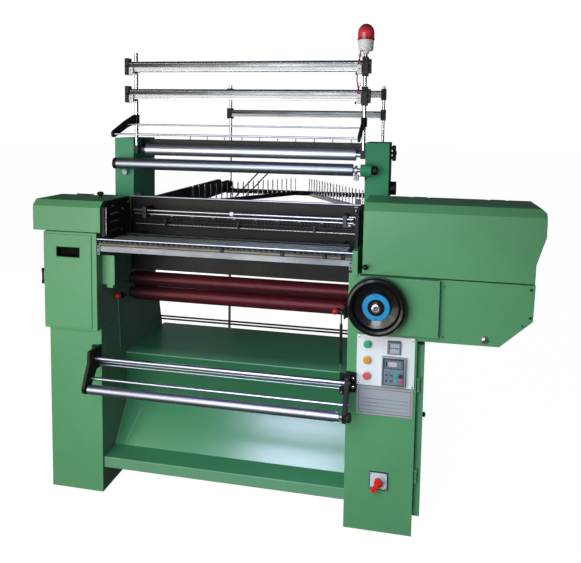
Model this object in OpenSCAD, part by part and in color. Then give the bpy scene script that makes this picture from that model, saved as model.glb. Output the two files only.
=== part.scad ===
// Crochet knitting machine with its rear yarn frame, millimetres, +Z up.
// The front faces -Y, the origin is the middle of the footprint on the floor.

/* [Legs] */
// Clear width between the two legs
gap_w = 921; // [880:1:960]
// Width of the left leg
leg_l_w = 213; // [200:1:220]
// Width of the right leg
leg_r_w = 236; // [230:1:242]
// Depth of the legs at the floor
leg_d = 680; // [660:5:720]
// Height of the left leg up to the head case
leg_l_h = 640; // [630:1:645]
// Sheet thickness of the folded casings
sheet = 3; // [2:0.5:4]

/* [Head] */
// Top of the left head case
case_top = 1005; // [1000:1:1006]
// Top of the right leg and the drive case
seam_z = 912; // [908:1:913]
// How far the hoods reach over the front of the legs
hood_y = 20; // [16:1:24]

/* [Posts and rollers] */
// Top of the two posts
post_top = 1347; // [1345:1:1380]
// Radius of the upper feed roller
feed_up_r = 23; // [18:1:24]
// Radius of the lower feed roller
feed_lo_r = 23; // [18:1:26]
// Radius of the red take-down rollers
take_r = 29; // [24:0.5:29.5]
// Radius of the batch roller
batch_r = 17; // [12:1:18]

/* [Yarn frame] */
// Top of the front uprights
rod_top = 1690; // [1680:1:1720]
// Radius of the front uprights
rod_r = 7; // [5:0.5:7.5]
// Depth of the rear uprights behind the front of the legs
rear_y = 1550; // [1500:10:1600]
// Pins in each leg of the V
pin_n = 21; // [16:1:30]
// Length of each pin
pin_h = 80; // [50:1:90]

/* [Fabric tray] */
// Height of the tray's top face
tray_z = 481; // [470:1:490]
// Front edge of the tray's top face
tray_y = 193; // [185:1:200]

/* [Handwheel] */
// Outer radius of the handwheel
wheel_r = 98; // [84:1:100]

/* [Hidden] */
$fn = 48;
xl = -640;              // inner face of the left leg
xr = xl + gap_w;        // inner face of the right leg
xl0 = xl - leg_l_w;     // outer face of the left leg
xr1 = xr + leg_r_w;     // outer face of the right leg
hood_l0 = xl - 256;
hood_l1 = xl + 15;
hood_r0 = xr + 47;
hood_r1 = xr + 623;
post_l0 = xl - 82;
post_r0 = xr + 22;
post_r1 = xr + 112;
py0 = 276;              // posts, front
py1 = 483;              // posts, back
ru_y = 330;  ru_z = 1298.5;   // upper feed roller axis
rl_y = 240;  rl_z = 1245;   // lower feed roller axis
td_y = 250;  td_z1 = 776;  td_z0 = 716;   // take-down roller axes
br_y = -105; br_z = 451;    // batch roller axis
fx_l = xl + 9;  fx_r = xr + 13;  fy = 287;  // front uprights
wx = xr + 99.5; wz = 820;   // handwheel axis
mx = xr + 119;  mz = 250;   // motor axis
cam_y = 110;  cam_z = 1015; // cam shaft axis
rx_l = xl + 18; rx_r = xr + 13;  // rear uprights
front_y = -126;
back_y = rear_y + 34;
O = [-(hood_l0 + hood_r1) / 2, -(front_y + back_y) / 2, 0];

green = "#5a9a70";
black = "#26282a";
steel = "#b8bcc0";

module bx(x0, x1, y0, y1, z0, z1) translate([x0, y0, z0]) cube([x1 - x0, y1 - y0, z1 - z0]);
module cx(x0, x1, y, z, r) translate([x0, y, z]) rotate([0, 90, 0]) cylinder(h = x1 - x0, r = r);
module cy(y0, y1, x, z, r) translate([x, y0, z]) rotate([-90, 0, 0]) cylinder(h = y1 - y0, r = r);
module cz(z0, z1, x, y, r) translate([x, y, z0]) cylinder(h = z1 - z0, r = r);
// Section in Y and Z drawn out along X
module px(x0, x1, pts) translate([x0, 0, 0]) rotate([90, 0, 90]) linear_extrude(x1 - x0) polygon(pts);
// Section in X and Z drawn out along Y
module py(y0, y1, pts) translate([0, y1, 0]) rotate([90, 0, 0]) linear_extrude(y1 - y0) polygon(pts);
// Straight round bar between two points
module rod(a, b, r) {
  d = b - a; l = norm(d);
  translate(a) rotate([0, acos(d[2] / l), atan2(d[1], d[0])]) cylinder(h = l, r = r, $fn = 24);
}
module place(c) color(c) translate(O) children();

// ---- left side -----------------------------------------------------------
module left_leg() place(green) difference() {
  px(xl0, xl, [[0, 0], [leg_d, 0], [530, 600], [520, leg_l_h], [0, leg_l_h]]);
  px(xl0 + sheet, xl - sheet, [[sheet, 6], [leg_d - 5, 6], [526, 600], [517, leg_l_h - sheet], [sheet, leg_l_h - sheet]]);
  bx(xl0 + 28, xl - 28, 28, leg_d - 40, -1, 8);
}

dh_x = xl0 - 5; dh_y = -31;   // left door hinge axis
lh_y = 172; lh_z = 1119;      // left hood hinge axis
module hood_lugs(xs, y, z, base, y0) for (x = xs) {
  for (s = [-36, 26]) bx(x + s, x + s + 10, y0, y + 5, base, z + 5);
  cx(x - 27, x + 27, y, z, 2.5);
}
module left_case() place(green) {
  difference() {
    bx(xl0, xl, -30, 490, leg_l_h, case_top);
    bx(xl0 + sheet, xl - sheet, -30 + sheet, 490 - sheet, leg_l_h + sheet, case_top - sheet);
    bx(xl0 + 8, xl - 28, -31, -20, leg_l_h + 20, case_top - 19);
    for (z = [td_z0, td_z1]) cx(xl - 10, xl + 1, td_y, z, 12);
  }
  // plate behind the hood, with the hinge lugs
  bx(xl0, xl, 170, 173, case_top, 1112);
  hood_lugs([xl - 60, xl - 160], lh_y, lh_z, 1111, lh_y - 3.5);
  // lugs and pin of the door hinge
  for (z = [806, 852]) {
    bx(xl0 - 9, xl0, dh_y + 1, dh_y + 5, z, z + 12);
    bx(xl0 - 9, xl0 - 2.5, dh_y - 4, dh_y + 2, z, z + 12);
  }
  cz(806, 864, dh_x, dh_y, 2.5);
  // small guard plate beside the take-down rollers
  bx(xl, xl + 50, 10, 13, 808, 918);
  bx(xl + 18, xl + 44, 10, 26, 796, 808);
}
module left_door() place(green) {
  difference() {
    bx(xl0 + 1, xl - 20, -33.3, -30.3, leg_l_h + 8, case_top - 9);
    bx(xl - 156, xl - 70, -35, -29, 916, 946);
  }
  difference() {
    union() {
      cz(819, 851, dh_x, dh_y, 4.5);
      bx(dh_x, xl0 + 8, -33.3, -30.8, 820, 850);
    }
    cz(815, 855, dh_x, dh_y, 2.55);
  }
}
module left_cover() place(green) {
  difference() {
    px(hood_l0, hood_l1, [[-30, 1008], [-30, 1099], [-8, 1121], [166, 1121], [166, 1008]]);
    px(hood_l0 + sheet, hood_l1 - sheet, [[-27, 1000], [-27, 1097.8], [-6.8, 1118], [170, 1118], [170, 1000]]);
    for (x = [xl - 60, xl - 160]) for (s = [-38, 24.5]) bx(x + s, x + s + 13.5, 158, 170, 1110, 1130);
  }
  for (x = [xl - 60, xl - 160]) difference() {
    union() {
      cx(x - 25, x + 25, lh_y, lh_z, 5);
      bx(x - 24, x + 24, 160, lh_y, 1118, 1121);
    }
    cx(x - 30, x + 30, lh_y, lh_z, 2.55);
  }
  // lifting knob
  translate([xl - 42, 80, 1121]) rotate_extrude() polygon([[0, 0], [6, 0], [5, 8], [11, 12], [13, 18], [10, 24], [0, 26]]);
}
module head_plates() place(black) {
  difference() {
    px(xl + 16, xl + 28, [[0, 977], [0, 991], [-21, 991], [-21, 1099], [1, 1121], [176, 1121], [186, 1112], [186, 977]]);
    for (z = [1002, 1034, 1064]) bx(xl, xl + 40, 22, 92, z, z + 10);
    for (z = [1018, 1050]) cx(xl, xl + 40, 140, z, 11);
  }
  bx(xl, xl + 16, 20, 160, 978, 1000);
  px(xr + 16, xr + 28, [[10, 995], [10, 1118], [240, 1118], [240, 995]]);
}

// ---- right side ----------------------------------------------------------
ch_x = xr1 + 7; ch_y = 13;     // cabinet door hinge axis
module right_leg() place(green) {
  difference() {
    px(xr, xr1, [[0, 0], [leg_d, 0], [530, 600], [500, 720], [500, seam_z], [0, seam_z]]);
    px(xr + sheet, xr1 - sheet, [[sheet, 6], [leg_d - 5, 6], [526, 600], [497, 719], [497, seam_z - sheet], [sheet, seam_z - sheet]]);
    bx(xr + 28, xr1 - 28, 28, leg_d - 40, -1, 8);
    bx(xr1 - 10, xr1 + 1, 40, 400, 110, 650);
    cy(-1, 5, wx, wz, 14);
    for (z = [td_z0, td_z1]) cx(xr - 1, xr + 10, td_y, z, 12);
  }
  // gland for the mains lead
  difference() { cx(xr1, xr1 + 22, 560, 60, 13); cx(xr1 + 4, xr1 + 30, 560, 60, 6); }
  // shelf that carries the motor
  bx(xr + sheet, xr1 - sheet, sheet, 520, 170, 176);
  for (z = [212, 537]) {
    for (s = [-25, 13]) bx(xr1, xr1 + 12, 8, 18, z + s, z + s + 12);
    cz(z - 25, z + 25, ch_x, ch_y, 2.5);
  }
}
module cabinet_door() place(green) {
  difference() {
    bx(xr1 + 0.5, xr1 + 25, 21, 420, 64, 674);
    bx(xr1 - 10, xr1 + 22, 24, 417, 67, 671);
  }
  for (z = [212, 537]) difference() {
    union() {
      cz(z - 12, z + 12, ch_x, ch_y, 5.5);
      bx(ch_x - 3, ch_x + 3, ch_y, 23, z - 11, z + 11);
    }
    cz(z - 20, z + 20, ch_x, ch_y, 2.55);
  }
  translate([xr1 + 25, 392, 258]) rotate([0, 90, 0]) rotate_extrude() polygon([[0, 0], [5, 0], [5, 6], [10, 9], [10, 15], [7, 18], [0, 19]]);
}
rh_y = 231; rh_z = 1147.5;     // right hood hinge axis
rc_pts = [[xr1, 700], [xr + 494, 702], [xr + 594, 794], [xr + 597, seam_z], [xr1, seam_z]];
module right_case() place(green) {
  difference() {
    py(-hood_y, 330, rc_pts);
    py(-hood_y + sheet, 327, [[xr1 - 1, 703], [xr + 492.8, 705], [xr + 591, 795.3], [xr + 594, seam_z - sheet], [xr1 - 1, seam_z - sheet]]);
  }
  bx(xr + 119, xr + 595, 228, 231, seam_z, 1140.5);
  hood_lugs([xr + 230, xr + 500], rh_y, rh_z, 1139.5, rh_y - 3.5);
}
module right_cover() place(green) {
  o = [[hood_r0, 916], [xr + 595, 916], [xr + 596, 978], [hood_r1, 1068], [hood_r1, 1143], [hood_r1 - 12, 1155], [hood_r0, 1155]];
  i = [[hood_r0 - 3, 900], [xr + 592, 900], [xr + 593, 978.5], [hood_r1 - 3, 1068.5], [hood_r1 - 3, 1142], [hood_r1 - 13.2, 1152], [hood_r0 - 3, 1152]];
  difference() {
    intersection() {
      py(-hood_y, 225, o);
      px(hood_r0 - 1, hood_r1 + 1, [[-hood_y, 900], [-hood_y, 1129], [8, 1155], [225, 1155], [225, 900]]);
    }
    intersection() {
      py(-hood_y + sheet, 230, i);
      px(hood_r0 - 5, hood_r1 + 1, [[-hood_y + sheet, 890], [-hood_y + sheet, 1127.7], [9.2, 1152], [230, 1152], [230, 890]]);
    }
    for (x = [xr + 230, xr + 500]) for (s = [-38, 24.5]) bx(x + s, x + s + 13.5, 215, 230, 1140, 1160);
  }
  for (x = [xr + 230, xr + 500]) difference() {
    union() {
      cx(x - 25, x + 25, rh_y, rh_z, 5);
      bx(x - 24, x + 24, 215, rh_y, 1149, 1155);
    }
    cx(x - 30, x + 30, rh_y, rh_z, 2.55);
  }
  // ball knob at the lower left corner
  cy(-hood_y - 14, -hood_y, hood_r0 + 11, 943, 4);
  translate([hood_r0 + 11, -hood_y - 20, 943]) sphere(r = 9.5);
}
module wheel_panel() place(green) difference() {
  union() {
    bx(xr + 41, xr1, -38, 0, 720, seam_z);
    bx(xr1 - 1, xr1 + 65, -38, -hood_y, 720, seam_z);
  }
  bx(xr + 41 + sheet, xr1, -35, 1, 723, seam_z - sheet);
  bx(xr1 - 1, xr1 + 62, -35, 1, 723, seam_z - sheet);
  cy(-40, 0, wx, wz, 16);
}
module right_side_plate() place(green) bx(xr + 14, xr + 32, -34, 240, seam_z, 995);
module control_plate() place("#e8ebee") difference() {
  bx(xr + 34, xr + 229, -4, 0, 526, 702);
  for (z = [672, 616, 561]) cy(-6, 1, xr + 69, z, 9.4);
}
module panel_units() place("#3c4652") {
  for (z = [672, 616, 561]) difference() {
    cy(-9, -4, xr + 69, z, 13);
    cy(-10, 0, xr + 69, z, 9.4);
  }
  bx(xr + 137, xr + 182, -10, -4, 643, 685);
  difference() {
    bx(xr + 122, xr + 197, -17, -4, 536, 632);
    bx(xr + 130, xr + 189, -18, -14, 597, 624);
  }
  for (i = [0:3], j = [0:1]) bx(xr + 130 + 15.5 * i, xr + 142 + 15.5 * i, -19, -17, 548 + 20 * j, 560 + 20 * j);
}
module blank_nameplate() place("#b9bdc4") bx(xr + 36, xr + 227, -2, 0, 421, 521);
sw_x = xr + 119; sw_z = 188;
module switch_plate() place("#a8a89a") difference() {
  union() { bx(sw_x - 30, sw_x + 30, -5, 0, 158, 218); cy(-8, -5, sw_x, sw_z, 22); }
  cy(-9, 1, sw_x, sw_z, 4.05);
}
module switch_knob() place("#c62828") {
  cy(-10, -1, sw_x, sw_z, 4);
  cy(-22, -9, sw_x, sw_z, 14);
  translate([sw_x, 0, sw_z]) rotate([0, 35, 0]) bx(-7, 7, -32, -20, -34, 14);
}
module push(z, c) place(c) {
  cy(-15, -4.5, xr + 69, z, 9);
}
module button_green() push(672, "#2fae7a");
module button_orange() push(616, "#f0923c");
module button_red() push(561, "#d8464c");

// ---- drive inside the right leg and case -----------------------------------
module wheel_hub() place(steel) {
  cy(-90, 120, wx, wz, 12);
  cy(-92, -78, wx, wz, 14.5);
  difference() { cy(60, 90, wx, wz, 80); cy(65, 85, wx, wz, 81); }
  cy(65, 85, wx, wz, 78);
}
module handwheel() place(black) translate([wx, 0, wz]) rotate([90, 0, 0]) rotate_extrude($fn = 96)
  polygon([[12, 46], [30, 46], [30, 58], [60, 58], [wheel_r - 18, 50], [wheel_r - 14, 46], [wheel_r - 4, 46], [wheel_r, 52],
    [wheel_r, 76], [wheel_r - 4, 83], [wheel_r - 11, 86], [wheel_r - 19, 83], [wheel_r - 26, 72], [46, 66], [46, 74], [28, 74], [28, 78], [12, 78]]);
module wheel_ring() place("#1f8fc4") translate([wx, 0, wz]) rotate([90, 0, 0]) rotate_extrude($fn = 96)
  polygon([[28, 74], [46, 74], [44, 80], [28, 80]]);
module motor_pulley() place(steel) {
  cy(58, 150, mx, mz, 10);
  cy(60, 90, mx, mz, 34);
  for (y = [60, 86]) cy(y, y + 4, mx, mz, 37);
}
module motor() place("#4a5560") difference() {
  union() {
    cy(126, 360, mx, mz, 62);
    cy(360, 396, mx, mz, 56);
    bx(mx - 58, mx + 58, 160, 320, 176, 206);
    bx(mx - 30, mx + 46, 190, 290, 300, 336);
  }
  cy(120, 152, mx, mz, 10.05);
}
module belt() place("#1c1c1c") difference() {
  hull() { cy(68, 82, wx, wz, 84); cy(68, 82, mx, mz, 40); }
  hull() { cy(60, 90, wx, wz, 78.5); cy(60, 90, mx, mz, 34.5); }
}
module cam_shaft() place(steel) {
  cx(xr + 62, xr + 570, cam_y, cam_z, 14);
  for (i = [0:5]) translate([xr + 210 + 34 * i, 0, 0])
    cx(0, 14, cam_y + 13 * sin(60 * i), cam_z + 13 * cos(60 * i), 46);
  cx(xr + 450, xr + 500, cam_y, cam_z, 62);
}

// ---- between the legs -----------------------------------------------------
// Folded sheet: rear flange, top, front, slanted scoop, lip
module fabric_tray() place("#4c8a62") {
  px(xl, xr, [[584, tray_z - 60], [584, tray_z], [tray_y, tray_z], [tray_y + 10, 281], [99, 141], [9, 135], [9, 95],
    [13, 95], [13, 131], [101, 137], [tray_y + 14, 279], [tray_y + 4.2, tray_z - 4], [580, tray_z - 4], [580, tray_z - 60]]);
}
module back_beam() place(black) {
  px(xl, xr, [[250, 813], [300, 813], [300, 819], [256, 819], [256, seam_z], [250, seam_z]]);
  px(xl, xr + 14, [[250, seam_z], [256, seam_z], [256, 1102], [300, 1102], [300, 1108], [250, 1108]]);
}
module needle_bed() place("#5c6468") {
  difference() {
    bx(xl, xr + 14, -18, 104, 962, 976);
    for (i = [0:44]) bx(xl + 12 + 20 * i, xl + 20 + 20 * i, -19, 96, 972, 977);
  }
}
module needle_bar() place(steel) difference() {
  union() {
    bx(xl + 44, xr - 14, 124, 142, 958, 984);
    for (i = [0:10]) bx(xl + 100 + 70 * i, xl + 124 + 70 * i, 118, 124, 964, 984);
  }
  for (x = [xl + 70, xr - 40]) cy(100, 150, x, 971, 5.05);
}
module front_bars() place(steel) {
  cx(xl, xr + 14, -24, 984, 5);
  bx(xl, xr + 14, -23, -13, 939, 959);
  cx(xl, xr + 14, 254, 1112, 4);
  cx(xl, xr, 196, 771, 2);
  cx(xl, xr, 538, 527, 4);
  cx(xl, xr, 544, 512, 4);
  // rods of the batching frame
  cx(xl, xr, -45, 543, 8);
  cx(xl, xr, -75, 479, 6);
  cx(xl, xr, -18, 521, 3);
  cx(xl, xr, -18, 510, 3);
}
module weft_bar_upper() place(steel) {
  cx(xl + 42, xr - 8, 190, 1066, 5);
  bx(xl + 440, xl + 452, 184, 196, 1059, 1074);
}
module weft_bar_lower() place(steel) {
  cx(xl + 42, xr - 8, 200, 1050, 5);
  for (i = [0:8]) bx(xl + 110 + 85 * i, xl + 116 + 85 * i, 197, 203, 1030, 1046);
}
module bearing_blocks() place("#c9ccd0") {
  // carriers of the weft bars
  for (x = [xl + 84, xr - 46]) difference() {
    bx(x, x + 14, 178, 250, 1036, 1080);
    cx(x - 1, x + 15, 190, 1066, 5.05);
    cx(x - 1, x + 15, 200, 1050, 5.05);
  }
  // flanges of the take-down rollers
  for (z = [td_z0, td_z1], x = [xl, xr - 12]) difference() {
    cx(x, x + 12, td_y, z, 22);
    cx(x - 1, x + 13, td_y, z, 10.05);
  }
  // bearing of the wheel shaft
  difference() { cy(3, 30, wx, wz, 32); cy(0, 40, wx, wz, 12.05); }
  // pedestals of the cam shaft
  for (x = [xr + 150, xr + 530]) difference() {
    union() { bx(x, x + 26, cam_y - 36, cam_y + 36, seam_z, cam_z); cx(x, x + 26, cam_y, cam_z, 36); }
    cx(x - 1, x + 27, cam_y, cam_z, 14.05);
  }
  // clamps of the front rails on the left upright
  for (z = [1612, 1504]) difference() {
    bx(fx_l - 9, fx_l + 9, 277, 300, z, z + 40);
    cz(z - 1, z + 41, fx_l, fy, rod_r);
  }
  // guide pins of the needle bar
  for (x = [xl + 70, xr - 40]) cy(108, 250, x, 971, 5);
  // blocks beside the beam ends
  bx(xl + 6, xl + 40, 262, 284, 1108, 1124);
  bx(xr - 10, xr + 10, 262, 284, 1108, 1132);
}

// ---- posts and feed rollers --------------------------------------------------
module left_post() place(green) difference() {
  bx(post_l0, xl, py0, py1, case_top, post_top);
  bx(post_l0 + 6, xl - 6, py0 + 6, py1 - 6, case_top - 1, post_top - 6);
  cx(xl - 10, xl + 1, ru_y, ru_z, 10.05);
}
module right_post() place(green) difference() {
  union() {
    bx(post_r0, post_r1, py0, py1, seam_z, post_top);
    cx(xr + 9, post_r0 + 28, rl_y, rl_z, 22);
    bx(post_r0, post_r0 + 26, rl_y, py0 + 1, rl_z - 18, rl_z + 18);
  }
  bx(post_r0 + 6, post_r1 - 6, py0 + 6, py1 - 6, seam_z - 1, post_top - 6);
  cx(post_r0 - 1, post_r0 + 10, ru_y, ru_z, 10.05);
  cx(xr - 2, post_r0 + 20, rl_y, rl_z, 8.05);
}
module post_fittings() place(black) {
  // bearing of the lower feed roller
  difference() {
    union() { bx(post_l0 + 16, post_l0 + 30, rl_y, py0, rl_z - 22, rl_z + 22); cx(post_l0 + 16, post_l0 + 30, rl_y, rl_z, 22); }
    cx(post_l0, post_l0 + 40, rl_y, rl_z, 8.05);
  }
  // grip screw on the boss
  translate([post_r0 + 28, rl_y, rl_z]) rotate([0, 90, 0]) rotate_extrude() polygon([[0, 0], [10, 0], [10, 4], [17, 6], [17, 16], [14, 19], [0, 19]]);
  // cross beam behind the upper feed roller
  bx(xl, post_r0, 357, 380, 1290, 1343);
  // tension knobs on the right side of the right post
  for (p = [[310, 1328, 11], [330, 1290, 12], [385, 1306, 10]]) translate([post_r1, p[0], p[1]]) rotate([0, 90, 0])
    rotate_extrude() polygon([[0, 0], [6, 0], [6, 8], [p[2], 10], [p[2], 20], [p[2] - 3, 23], [0, 23]]);
  cx(post_r1, post_r1 + 26, 345, 1172, 26);
}
module feed_roller_upper() place(steel) {
  cx(xl + 34, xr - 18, ru_y, ru_z, feed_up_r);
  cx(xl - 8, post_r0 + 8, ru_y, ru_z, 10);
}
module feed_roller_lower() place(steel) {
  cx(post_l0 + 32, xr - 19, rl_y, rl_z, feed_lo_r);
  cx(post_l0 + 18, post_r0 + 17, rl_y, rl_z, 8);
}
function tooth(n, r) = [for (i = [0:n - 1], k = [0:3])
  let (a = 360 / n * (i + [-0.27, -0.13, 0.13, 0.27][k]), q = [r - 2.2, r + 1.8, r + 1.8, r - 2.2][k]) [q * cos(a), q * sin(a)]];
module gear(x, z, ph) translate([x, td_y, z]) rotate([ph, 0, 0]) rotate([0, 90, 0]) rotate([0, 0, 90]) linear_extrude(14) polygon(tooth(20, 30));
module takedown_roller_upper() place("#8c2b36") {
  cx(xl + 18, xr - 19, td_y, td_z1, take_r);
  cx(xl - 12, xr + 24, td_y, td_z1, 10);
  gear(xr + 8, td_z1, 0);
}
module takedown_roller_lower() place("#8c2b36") {
  cx(xl + 18, xr - 19, td_y, td_z0, take_r);
  cx(xl - 12, xr + 24, td_y, td_z0, 10);
  gear(xr + 8, td_z0, 9);
}

// ---- batching frame and ball levers ---------------------------------------------
ll = [152, 728]; lr = [150, 730];     // lever pivots, Y and Z
module batch_brackets() place(black) {
  difference() {
    px(xl - 12, xl, [[0, 500], [0, 580], [-82, 580], [-86, 540], [-126, 462], [-122, 441], [-105, 432], [-86, 440], [-36, 500]]);
    cx(xl - 13, xl + 1, br_y, br_z, 6.05);
  }
  bx(xl - 34, xl - 12, -12, 0, 508, 578);
  difference() {
    px(xr, xr + 14, [[0, 496], [0, 568], [-62, 568], [-70, 530], [-124, 466], [-124, 438], [-105, 432], [-86, 438], [-36, 496]]);
    cx(xr - 1, xr + 15, br_y, br_z, 6.05);
  }
  bx(xr + 14, xr + 33, -12, 0, 500, 566);
  // pivot pins of the levers
  cx(xl, xl + 24, ll[0], ll[1], 5);
  difference() { bx(xr - 30, xr, 134, 178, 706, 756); bx(xr - 24, xr - 6, 130, 150, 700, 760); }
  cx(xr - 62, xr - 30, lr[0], lr[1], 5);
}
module batch_roller() place(steel) {
  cx(xl + 6, xr - 24, br_y, br_z, batch_r);
  cx(xl - 12, xr + 12, br_y, br_z, 6);
}
module ball_lever_left() place(black) {
  difference() { cx(xl + 1, xl + 13, ll[0], ll[1], 11); cx(xl, xl + 14, ll[0], ll[1], 5.05); }
  rod([xl + 7, 142, 729.5], [xl + 14, 108, 738], 4);
  translate([xl + 14, 104, 739]) sphere(r = 13);
  cx(xl + 1, xl + 10, 124, 734, 2.5);
}
module ball_lever_right() place(black) {
  difference() { cx(xr - 64, xr - 46, lr[0], lr[1], 11); cx(xr - 65, xr - 45, lr[0], lr[1], 5.05); }
  rod([xr - 55, 140, 731], [xr - 58, 108, 741], 4);
  translate([xr - 58, 104, 742]) sphere(r = 12);
  cx(xr - 56, xr - 30, 122, 736, 2.5);
}
module link_rod_left() place(steel) {
  difference() { cx(xl + 1.5, xl + 5.5, 124, 734, 6); cx(xl, xl + 8, 124, 734, 2.55); }
  rod([xl + 3.5, 124.6, 728.4], [xl + 3.5, 146, 488], 2);
}
module link_rod_right() place(black) {
  difference() { cx(xr - 40, xr - 34, 122, 736, 7); cx(xr - 42, xr - 32, 122, 736, 2.55); }
  rod([xr - 37, 122.2, 729.4], [xr - 37, 124, 680], 2.5);
  rod([xr - 37, 124, 690], [xr - 37, 129, 540], 5.5);
  rod([xr - 37, 129, 541], [xr - 37, 131, 494], 2.5);
}

// ---- yarn guides above the posts --------------------------------------------------
module front_rods() place(steel) {
  cz(1288, rod_top, fx_l, fy, rod_r);
  cz(1288, rod_top, fx_r, fy, rod_r);
}
module rail(x0, x1, y, z) px(x0, x1, [[y, z], [y + 22, z], [y + 22, z + 6], [y + 15, z + 6], [y + 15, z + 34],
  [y + 22, z + 34], [y + 22, z + 40], [y, z + 40], [y, z + 34], [y + 7, z + 34], [y + 7, z + 6], [y, z + 6]]);
module stop_rails() place(steel) {
  for (z = [1612, 1504]) rail(xl - 8, xr + 4, 255, z);
  for (z = [1572, 1455]) rail(rx_l + 14, rx_r - 14, rear_y - 30, z);
}
module rail_clamps() place(black) {
  for (z = [1600, 1490]) {
    bx(xl - 24, xl - 8, 251, 281, z, z + 66);
    difference() {
      union() {
        bx(xr + 4, xr + 25, 251, 300, z - 4, z + 66);
        bx(xr + 25, xr + 36, 262, 292, z + 6, z + 58);
      }
      cz(z - 10, z + 70, fx_r, fy, rod_r);
    }
  }
  for (z = [1560, 1443], x = [rx_l, rx_r]) difference() {
    bx(x - 14, x + 14, rear_y - 34, rear_y + 14, z, z + 62);
    cz(z - 1, z + 63, x, rear_y, 8);
  }
  // blocks that hold the uprights on the posts
  difference() { bx(xl, xl + 19, py0, py0 + 22, 1285, 1318); cz(1280, 1320, fx_l, fy, rod_r); }
  difference() { bx(xr + 3, post_r0, py0, py0 + 22, 1285, 1318); cz(1280, 1320, fx_r, fy, rod_r); }
}
arm = [[285, 1440], [285, 1410], [196, 1388], [96, 1353], [82, 1356], [80, 1372], [90, 1379], [186, 1416], [262, 1440]];
module guide_arms() place(black) {
  difference() {
    union() { px(fx_l - 5, fx_l + 3, arm); cz(1406, 1442, fx_l, fy, 12); }
    cz(1400, 1450, fx_l, fy, rod_r);
  }
  difference() {
    union() { px(fx_r - 3, fx_r + 5, arm); cz(1406, 1442, fx_r, fy, 12); }
    cz(1400, 1450, fx_r, fy, rod_r);
  }
}
module guide_rods() place(steel) {
  cx(fx_l + 3, fx_r - 3, 91, 1366, 3.5);
  cx(fx_l + 3, fx_r - 3, 195, 1402, 3);
  for (i = [0:9]) translate([xl + 316 + 66 * i, 91, 1366]) rotate([160, 0, 0]) cylinder(h = 15, r = 1.5, $fn = 16);
  for (i = [0:9]) translate([xl + 316 + 66 * i, 91 - 15 * sin(20), 1366 - 15 * cos(20)]) sphere(r = 2.2, $fn = 16);
}
module beacon_base() place("#e6e8ea") translate([fx_r, fy, 0]) rotate_extrude() polygon([[0, rod_top], [25, rod_top], [27.5, rod_top + 4], [29.5, rod_top + 40], [0, rod_top + 40]]);
module beacon_dome() place("#c02a30") translate([fx_r, fy, 0]) rotate_extrude()
  polygon(concat([[0, rod_top + 40], [32, rod_top + 40], [32, rod_top + 45], [30.5, rod_top + 46]], [for (a = [0:10:90]) [30.5 * cos(a), rod_top + 66 + 34 * sin(a)]]));
// Red signal wire held along the right upright
wire = [[xr - 4, 270, 1690], [xr - 4, 270, 1685], [xr - 4, 266, 1679], [xr - 5, 254, 1668], [xr - 6, 247, 1655], [xr - 9, 247, 1634], [xr - 9, 247, 1612],
  [xr - 12, 250, 1596], [xr - 15, 258, 1580], [xr - 11, 256, 1562], [xr - 8, 247, 1548], [xr - 8, 247, 1530], [xr - 8, 252.5, 1522]];
module wiring() place("#b03038") {
  n = len(wire); s = 10; r = 2.2;
  pts = [for (i = [0:n - 1]) let (d = i == 0 ? [0, 0, -1] : wire[min(i + 1, n - 1)] - wire[max(i - 1, 0)], w = d / norm(d),
      u0 = cross(w, [1, 0, 0]), u = u0 / norm(u0), v = cross(w, u))
    each [for (k = [0:s - 1]) wire[i] + r * (cos(360 * k / s) * u + sin(360 * k / s) * v)]];
  side = [for (i = [0:n - 2], k = [0:s - 1]) [i * s + k, i * s + (k + 1) % s, (i + 1) * s + (k + 1) % s, (i + 1) * s + k]];
  polyhedron(pts, concat(side, [[for (k = [s - 1:-1:0]) k]], [[for (k = [0:s - 1]) (n - 1) * s + k]]));
}

// ---- rear yarn frame --------------------------------------------------------------
va = [xl + 12, 850]; vb = [(xl + xr) / 2 - 20, 1528]; vc = [(xl + xr) / 2 + 43, 1528]; vd = [xr + 17, 850];
v_z = 1018;
module creel_uprights() place(steel) for (x = [rx_l, rx_r]) {
  cz(0, 1640, x, rear_y, 8);
  cz(0, 8, x, rear_y, 34);
}
module v_bar(a, b) {
  d = b - a; l = norm(d);
  translate([a[0], a[1], v_z - 22]) rotate([0, 0, atan2(d[1], d[0])]) translate([0, -6, 0]) cube([l, 12, 22]);
}
rail_side = [[py1, 1007], [497, 1007], [504, 1000], [rear_y + 20, 1000], [rear_y + 20, 1066], [rear_y - 146, 1066], [rear_y - 150, 1080], [rear_y - 158, 1086], [py1, 1086]];
module creel_rails() place(black) difference() {
  union() {
    px(xl - 12, xl + 8, rail_side);
    px(xr + 23, xr + 43, rail_side);
    v_bar(va, vb);
    v_bar(vd, vc);
    bx(xl + 6, xl + 20, 830, 870, v_z - 24, 1084);
    bx(xr + 11, xr + 25, 830, 870, v_z - 24, 1084);
    bx(xl - 2, xr + 33, rear_y - 30, rear_y - 10, v_z - 24, v_z + 2);
    for (x = [rx_l, rx_r]) bx(x - 20, x + 20, rear_y - 30, rear_y + 14, v_z - 26, v_z + 4);
    bx(xl - 6, rx_l + 14, rear_y - 14, rear_y + 14, 1032, 1060);
    bx(rx_r - 14, xr + 37, rear_y - 14, rear_y + 14, 1032, 1060);
  }
  for (x = [rx_l, rx_r]) cz(v_z - 40, v_z + 90, x, rear_y, 8);
}
module creel_pins() place(steel) {
  for (i = [0:pin_n - 1]) let (t = (i + 0.9) / (pin_n + 0.4)) {
    cz(v_z, v_z + pin_h, va[0] + (vb[0] - va[0]) * t, va[1] + (vb[1] - va[1]) * t, 3.2);
    cz(v_z, v_z + pin_h, vd[0] + (vc[0] - vd[0]) * t, vd[1] + (vc[1] - vd[1]) * t, 3.2);
  }
}

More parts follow.
